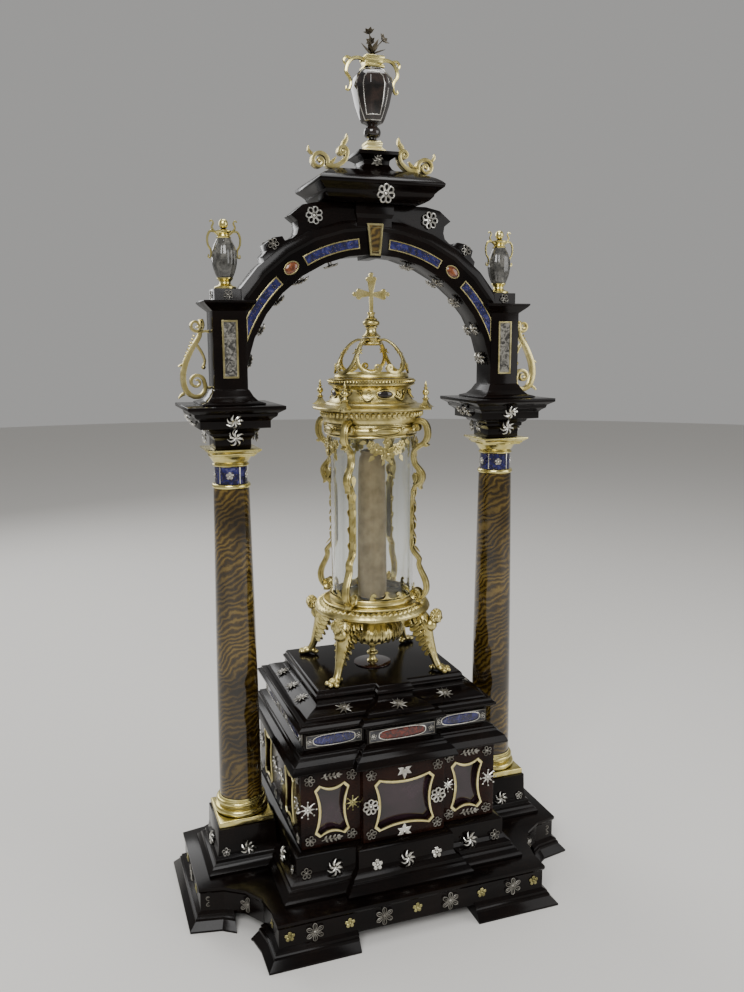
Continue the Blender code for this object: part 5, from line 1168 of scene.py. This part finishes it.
# ostensory: canopy
canopyLine = ([(38.2, 499.3), (44.3, 499.3), (44.3, 494), (46.8, 494)] + halfRound(494.1, 496.2, 47, 48, 4)
              + [(47.4, 496.6)] + halfRound(497, 504.4, 47.6, 49.6, 8) + [(47.4, 504.8)]
              + halfRound(505, 506.6, 47.2, 48, 4)
              + [(46.8, 507), (46.8, 508.2), (50.6, 508.8), (51.6, 510), (51.6, 513), (52.6, 513.4), (53, 520.8),
                 (56, 521.3), (60.6, 521.6), (62.3, 522.4), (62.5, 523.6), (61.8, 524.7), (60.2, 525.2), (55, 525.8),
                 (50.4, 526.4), (48.4, 527.4), (47.6, 528.8)]
              + smoothed([(46.4, 529.2), (43.2, 531.6), (41, 535.2), (40.2, 539), (40.6, 542.6), (42.4, 545.4)], 3)
              + [(44.2, 546.2), (45.4, 547), (45.6, 548.4), (44.6, 549), (44.6, 552), (45, 552.8), (42, 553.5),
                 (37, 553.9), (0.3, 554)])
canopy = [movedTo(turned(canopyLine, sides=96), toAxis)]
tongue = movedTo(dome(1, 1, 8), shift(0, -52.7, 517.2) @ turnBy(90, "X") @ Matrix.Diagonal((2.4, 3.4, 2, 1)))
canopy += roundAxis(tongue, 60)
pearl = turned([(0.02, -1.25), (0.85, -0.9), (1.25, 0), (0.85, 0.9), (0.02, 1.25)], sides=8)
canopy += roundAxis(movedTo(pearl, shift(0, -45.2, 550.5)), 84)
corner = cutPlate([[(46, -13), (58, -10.5), (63.5, -4), (67.8, -1), (67.8, 1), (63.5, 4), (58, 10.5), (46, 13)]], 3.4,
                  0.6)
pyramid = facetTurned([(0.3, 524.6), (9.6, 524.6), (6.4, 526.2), (4, 528.6), (2.6, 531.6), (2.4, 532), (0.3, 532)], 4,
                      45, ostensory["cornerSpot"])
finial = turned([(0.3, 531.5), (2.4, 531.6), (3.4, 532.6), (3.4, 533.4), (2, 534.2), (1.5, 536)]
                + halfRound(536.6, 542.4, 1.4, 3.3, 7)
                + [(1.1, 542.9), (2.3, 543.8), (2.3, 544.4), (1, 545), (1.5, 547), (0.9, 549), (0.2, 551)],
                ostensory["cornerSpot"], 24)
canopy += roundAxis(joined([movedTo(corner, shift(0, 0, 523.4)), pyramid, finial]), 4, 45)
medalRim = wrapped(movedTo(ovalRing(8, 3.6, 1.2, 2.4), shift(0, 538, 0)), ostensory["drum"], lambda v: 41.4)
scrollRelief = wrapped(joined([rod([(u, v, 0.3) for u, v in spiral((16.5, 538.5), 4.6, 200, 1.4, 14)], 0.6, steps=1),
                               rod([(u, v, 0.3) for u, v in spiral((26, 540), 3.2, 20, -1.2, 12)], 0.55, steps=1),
                               rod([(11.5, 536, 0.3), (18, 532.6, 1.4), (24, 536, 0.4), (29.5, 541.5, 0.3)], 0.7,
                                   steps=4)]), ostensory["drum"], lambda v: 40.8 + 0.1 * abs(v - 539) ** 1.6)
canopy += roundAxis(joined([medalRim, scrollRelief, copyAt(scrollRelief, mirror(-1))]), 4)
cartouche = wrapped(joined([movedTo(ovalRing(13, 3.6, 0.9, 1.2), shift(0, 500.7, 0)),
                            *(rod([(side * u, v, 0.2) for u, v in spiral((17.6, 503.4), 2.6, 200, 1.3, 12)], 0.6,
                                  steps=1) for side in (1, -1))]), 49.6, lambda v: 49.8)
canopy += roundAxis(cartouche, 4)
rose = []
for count, start, size, lift in ((6, 0, 1.35, 0), (5, 30, 0.85, 1.3)):
    rose += ringOf(movedTo(cutPlate([petalLine], 0.8, 0.3, 0), shift(0, 0, lift) @ sized(size)), count, start)
rose = joined(rose + [movedTo(dome(1.7, 1.6, 10), shift(0, 0, 1.6))])
swagLeaf = leafPlate(10.5, 3, 1.3, -0.1)
# (turn from the middle of a quarter, z, piece, spin, size)
swags = ((-26, 491, swagLeaf, 200, 0.8), (-20, 487, rose, 0, 0.7), (-14, 483, rose, 20, 0.95),
         (-17, 477, swagLeaf, 235, 0.8), (-8, 486, swagLeaf, 290, 0.9), (-5, 490, swagLeaf, 30, 0.7),
         (0, 478.5, rose, 40, 1.15), (-4, 472, swagLeaf, 250, 0.6), (4, 472, swagLeaf, 290, 0.6),
         (0, 490, rose, 0, 0.7), (8, 486, swagLeaf, 250, 0.9), (5, 490, swagLeaf, 150, 0.7), (14, 483, rose, 10, 0.95),
         (17, 477, swagLeaf, 305, 0.8), (20, 487, rose, 0, 0.7), (26, 491, swagLeaf, 340, 0.8))
for quadrant in range(0, 360, 90):
    for turn, z, piece, spin, size in swags:
        heading = quadrant + turn
        x, y = ostensory["swagRadius"] * sinOf(heading), -ostensory["swagRadius"] * cosOf(heading)
        canopy.append(copyAt(piece, toAxis @ facing(x, y, z, heading, 0, spin, size)))
putAway(rose, swagLeaf)
finishPiece(canopy, "canopy_chased", giltBronze, ("canopy",), 40)
medals = roundAxis(wrapped(movedTo(ovalStone(8, 3.6, 1.6), shift(0, 538, 0)), ostensory["drum"], lambda v: 41.3), 4)
finishPiece(medals, "canopy_medallions", smokyQuartz)

# crown and cross
domeLine = ((554, 38.4), (557, 38.6), (567, 38), (574, 35.8), (578, 34), (586, 27), (591, 19.5), (594, 14.5))


def domeRadius(v):
    for (low, wide), (high, narrow) in zip(domeLine, domeLine[1:]):
        if v <= high:
            return wide + (narrow - wide) * (v - low) / (high - low)
    return domeLine[-1][1]


crownRing = turned([(36.4, 554.3), (38.9, 554.3), (39.3, 555.4), (38.7, 556.4), (38.7, 558.6), (36.9, 558.6),
                    (36.4, 554.3)], sides=96)
collar = turned([(0.3, 586.6), (9.2, 586.8)] + halfRound(587.2, 590.6, 9.6, 11.6, 6)
                + [(9.8, 591.2), (8.6, 592.6), (8.8, 593.8), (9.8, 594.6), (9.6, 595), (0.3, 595)], sides=48)
rib = strap([(8.5, 592), (14.5, 593), (21.5, 590.2), (27.6, 585.4), (33, 578.6), (35.6, 573)],
            [2.4, 2.4, 2.4, 2.4, 2.4, 2.2], 4.6, 0.5)
forks = []
for side in (1, -1):
    line = [(side * u, v) for u, v in [(0.5, 579), (1.6, 572.5), (4.4, 566.4), (9.6, 561.6), (16.6, 559.4),
                                       (22.4, 560.6)] + spiral((23.6, 564.6), 3.7, -60, 1.35, 14)[1:]]
    widths = [3.6, 3.8, 3.8, 3.6, 3.2, 3] + [2.8 - 0.1 * i for i in range(14)]
    forks.append(wrapped(strap(line, widths, 1.9, 0.3), 38.4, domeRadius))
    for tip, wide in (((side * 4.8, 583.6), 2.2), ((side * 5.6, 578.6), 2)):
        forks.append(wrapped(strap([(0, 579.6), (side * 2.6, 580.4), tip], [2.6, wide, 0.7], 1.8, 0.3), 34, domeRadius))
forks = movedTo(joined(forks), turnBy(90, "Z"))
crownParts = roundAxis(joined([movedTo(rib, turnBy(90, "X")), forks]), 4, 45)
crownParts += [movedTo(crownRing, toAxis), movedTo(collar, toAxis)]
finishPiece(crownParts, "crown_pierced", giltBronze, ("crown",), 40)

knobTurned = turned([(0.3, 595.3), (9.8, 595.4), (9.9, 596.3), (8.4, 597.6), (6.2, 599.6), (5.2, 602.4), (5.4, 604.6)]
                    + halfRound(604.8, 606.6, 5.6, 6.9, 5) + halfRound(606.9, 612.5, 6.6, 8.8, 8)
                    + halfRound(612.8, 614.4, 5.4, 6.4, 5)
                    + [(4.2, 615.2), (3.2, 617.2), (3.6, 618.8), (4.4, 619.6), (4, 620.6), (2.2, 621.4), (0.3, 621.5)],
                    sides=48)
crossWork = {"top": 661, "arm": 639, "half": 20.2, "width": 4, "lobe": 2.6, "thick": 3.2}
half, lobe = crossWork["width"] / 2, crossWork["lobe"]
crossLine = [(-half, 620), (half, 620)]
for heading, reach in ((0, crossWork["half"]), (90, crossWork["top"] - crossWork["arm"]), (180, crossWork["half"])):
    c, s = cosOf(heading), sinOf(heading)
    crossLine.append((half * (c + s), crossWork["arm"] + half * (s - c)))
    for inward, aside, start in ((-2.6, -1.15, 0), (-1, 0, 75), (-2.6, 1.15, 130)):
        for turn in range(-130, 36, 15):
            angle = math.radians(start + turn)
            along, across = reach + lobe * (inward + math.cos(angle)), lobe * (aside + math.sin(angle))
            crossLine.append((along * c - across * s, crossWork["arm"] + along * s + across * c))
crossLine.append((-half, crossWork["arm"] - half))
crossCut = movedTo(cutPlate([crossLine], crossWork["thick"], 0.5, 2), facing(0, 0, 0))
finishPiece([movedTo(knobTurned, toAxis), movedTo(crossCut, toAxis)], "cross_cast", giltBronze,
            ("cross",), 40)

# brackets: one is modelled along +u, with v up, then copied to the diagonals
bracketPath = [(45.8, 508), (54, 510.4), (61, 508), (64, 501), (63.8, 493.4), (60.4, 487.4), (54.6, 483.6), (49.6, 479),
               (48.4, 472), (50.4, 464.6), (55.6, 459), (58.6, 453.6), (57.8, 447.4), (52.4, 443.2), (48.4, 437),
               (47.2, 420), (47, 405), (47, 388), (47.2, 375), (51.4, 368.6), (55.6, 363.6), (54.8, 358), (57.8, 350.6),
               (61.8, 343), (63.9, 335), (62.6, 327.6), (58.2, 322.4), (52.4, 321.2), (49, 324.2)]
bracketWidths = [5.2, 5.8, 6, 6, 6, 5.4, 4.8, 4.6, 4.8, 5, 5.4, 5.8, 5.2, 4.4, 3.8, 3.6, 3.6, 3.6, 3.8, 4.4, 4.2, 4,
                 4.8, 5.4, 5.6, 5.4, 4.8, 4.4, 3.4]
bracketParts = [strap(bracketPath, bracketWidths, 5.4, 0.3),
                strap(bracketPath[1:-1], [w * 0.42 for w in bracketWidths[1:-1]], 8, 0.3)]
for spur in (([(60.4, 487.4), (63.4, 485), (65.6, 485.6)], [4.6, 3.4, 1.2], 6.4, 0.3),
             ([(57.8, 447.4), (56, 441.8), (57.6, 438.6)], [4.6, 3.2, 1.2], 6.4, 0.3),
             ([(56, 317.2), (56.2, 321)], [6.4, 5.4], 6.6, 0.5)):
    bracketParts.append(strap(*spur))
for face in (1, -1):
    for u, v, radius in ((52.4, 325.6, 6.4), (52, 503.2, 4.2)):
        disc = turned([(0.1, 2.6), (1, 2.5), (1.6, 1.6), (2.6, 2.3), (3.4, 1.4), (4.3, 2), (5.4, 0.8), (5.4, -0.2),
                       (0.1, -0.2)], sides=24)
        place = shift(u, v, face * 3) @ Matrix.Scale(face, 4, (0, 0, 1)) @ sized(radius / 5.4)
        bracketParts.append(movedTo(disc, place))
acanthus = leafPlate(11.5, 3.1, 1.1, -0.1)
# (u, v, lean, size, the sides it grows on: 0 up the middle, 1 and -1 to either side)
acanthusPlaces = ((51.5, 461.5, -62, 1.15, (0,)), (50.5, 456.5, -80, 1.15, (1, -1)), (48.4, 446, -72, 0.9, (0,)),
                  (48.2, 438, -80, 0.8, (1, -1)), (48, 429, -68, 0.8, (0,)), (48, 421, -78, 0.75, (1, -1)),
                  (48, 412, -66, 0.8, (0,)), (48, 403, -78, 0.75, (1, -1)), (48, 394, -66, 0.8, (0,)),
                  (48, 386, -78, 0.75, (1, -1)), (49.5, 378, -50, 0.85, (0,)), (59.6, 350.6, -62, 0.7, (0,)),
                  (63.4, 342, -72, 0.65, (0,)), (56.6, 357.6, -60, 0.7, (0,)))
for u, v, lean, size, sides in acanthusPlaces:
    for side in sides:
        bracketParts.append(copyAt(acanthus, shift(u, v, side * 3.4) @ turnBy(lean, "Z")
                                   @ turnBy(20 if side else 90, "X") @ sized(size)))
putAway(acanthus)
onDiagonals(joined(bracketParts), "bracket_cast", "bracket")

# legs: a winged bust on a feathered leg with a clawed foot; u outward, v up
legBody = [rod([(54.5, 303.6, 0, 0.9), (58.5, 296, 0, 1.25), (60.5, 288, 0, 1.25), (64, 276, 0, 1),
                (68, 264.5, 0, 0.78), (72, 253.5, 0, 0.58), (76, 245.6, 0, 0.62)], 6.9, roundness=4, steps=4)]
for spread, length in ((-30, 13.5), (0, 14.6), (30, 13.5), (180, 8)):
    toe = rod([(0, 4.6, 0, 1), (length * 0.34, 4.3, 0, 1.15), (length * 0.62, 2.9, 0, 0.85),
               (length * 0.86, 2.7, 0, 0.9), (length, 1.6, 0, 0.4)], 3.2, roundness=3, steps=3)
    legBody.append(movedTo(toe, shift(75, 240.6, 0) @ turnBy(spread, "Y")))
chest = turned([(0.1, -8), (4, -6.6), (6.4, -2.5), (7.2, 1.5), (6, 5), (3.4, 7.2), (2.6, 9.4), (0.1, 9.6)], sides=28)
legBody.append(movedTo(chest, shift(66.5, 290.5, 0) @ turnBy(-18, "Z") @ turnBy(-90, "X")))
head = turned([(0.1, -6.2), (2, -5.9), (3.6, -4.2), (4.4, -1.6), (4.8, 1.2), (4.4, 3.8), (3, 5.6), (0.1, 6.3)],
              sides=28)
face = [head]
for side in (-1, 1):
    face.append(movedTo(dome(0.75, 0.5, 10), shift(4.25, side * 1.75, 0.2) @ turnBy(90, "Y")))
    face.append(rod([(4.5, side * 0.7, 1.3, 0.8), (4.4, side * 1.9, 1.6, 1), (3.8, side * 2.9, 1.1, 0.7)], 0.3,
                    steps=2))
face.append(rod([(4.6, 0, 1.1, 0.7), (5.3, 0, -0.6, 1), (5, 0, -1.4, 1.3), (4.5, 0, -1.5, 0.8)], 0.5, steps=2))
face.append(rod([(4.2, -1, -2.7, 0.6), (4.5, 0, -2.6, 1.1), (4.2, 1, -2.7, 0.6)], 0.4, steps=2))
face.append(movedTo(dome(1.2, 0.8, 10), shift(3.2, 0, -4.3) @ turnBy(105, "Y")))
curl = turned([(0.1, 1.5), (0.7, 1.3), (1, 0.8), (1.5, 1), (1.9, 0.4), (1.9, -0.3), (0.1, -0.3)], sides=10)
for level, lift, count, start in ((20, 2, 9, 62), (45, 3.8, 8, 40), (72, 5.4, 5, 20), (-8, -0.8, 7, 82),
                                  (-30, -3, 5, 110)):
    for i in range(count):
        turn = start + (360 - 2 * start) * i / (count - 1)
        reach = 4.6 * cosOf(level) if level > 0 else 4.3
        face.append(copyAt(curl, turnBy(turn, "Z") @ shift(reach, 0, lift) @ turnBy(90 - level, "Y")))
putAway(curl)
legBody.append(movedTo(joined(face), shift(73.6, 301.4, 0) @ turnBy(-90, "X") @ sized(1.22)))
vane = cutPlate([[(0, 2.2), (5.6, 2.9), (8.2, 2.1), (9.4, 0), (8.2, -2.1), (5.6, -2.9), (0, -2.2)]], 1.5, 0.45)
feather = joined([vane, rod([(0.4, 0, 0.8), (8.4, 0, 0.7)], 0.4, steps=1)])
for side in (-1, 1):
    for i in range(7):
        share = i / 6
        for row, back in enumerate((0, 4.5)):
            place = (shift(55 + back + 12 * share, 299 - 36 * share, side * (12 - 8.4 * share - 0.9 * row))
                     @ turnBy(214 + 14 * share, "Z") @ turnBy(side * 22, "X")
                     @ sized(1.42 - 0.62 * share))
            legBody.append(copyAt(feather, place))
    for i in range(5):
        place = (shift(64 - 3.4 * i, 299 - 0.3 * i, side * (7 + 2.3 * i))
                 @ turnBy(-side * 34, "Y") @ turnBy(238 - 6 * i, "Z") @ sized(1.4))
        legBody.append(copyAt(feather, place))
putAway(feather)
onDiagonals(joined(legBody), "leg_cast", "leg", ostensory["legSwing"], 45)
print("ostensory cast")

for master in flowers.values():
    putAway(master)
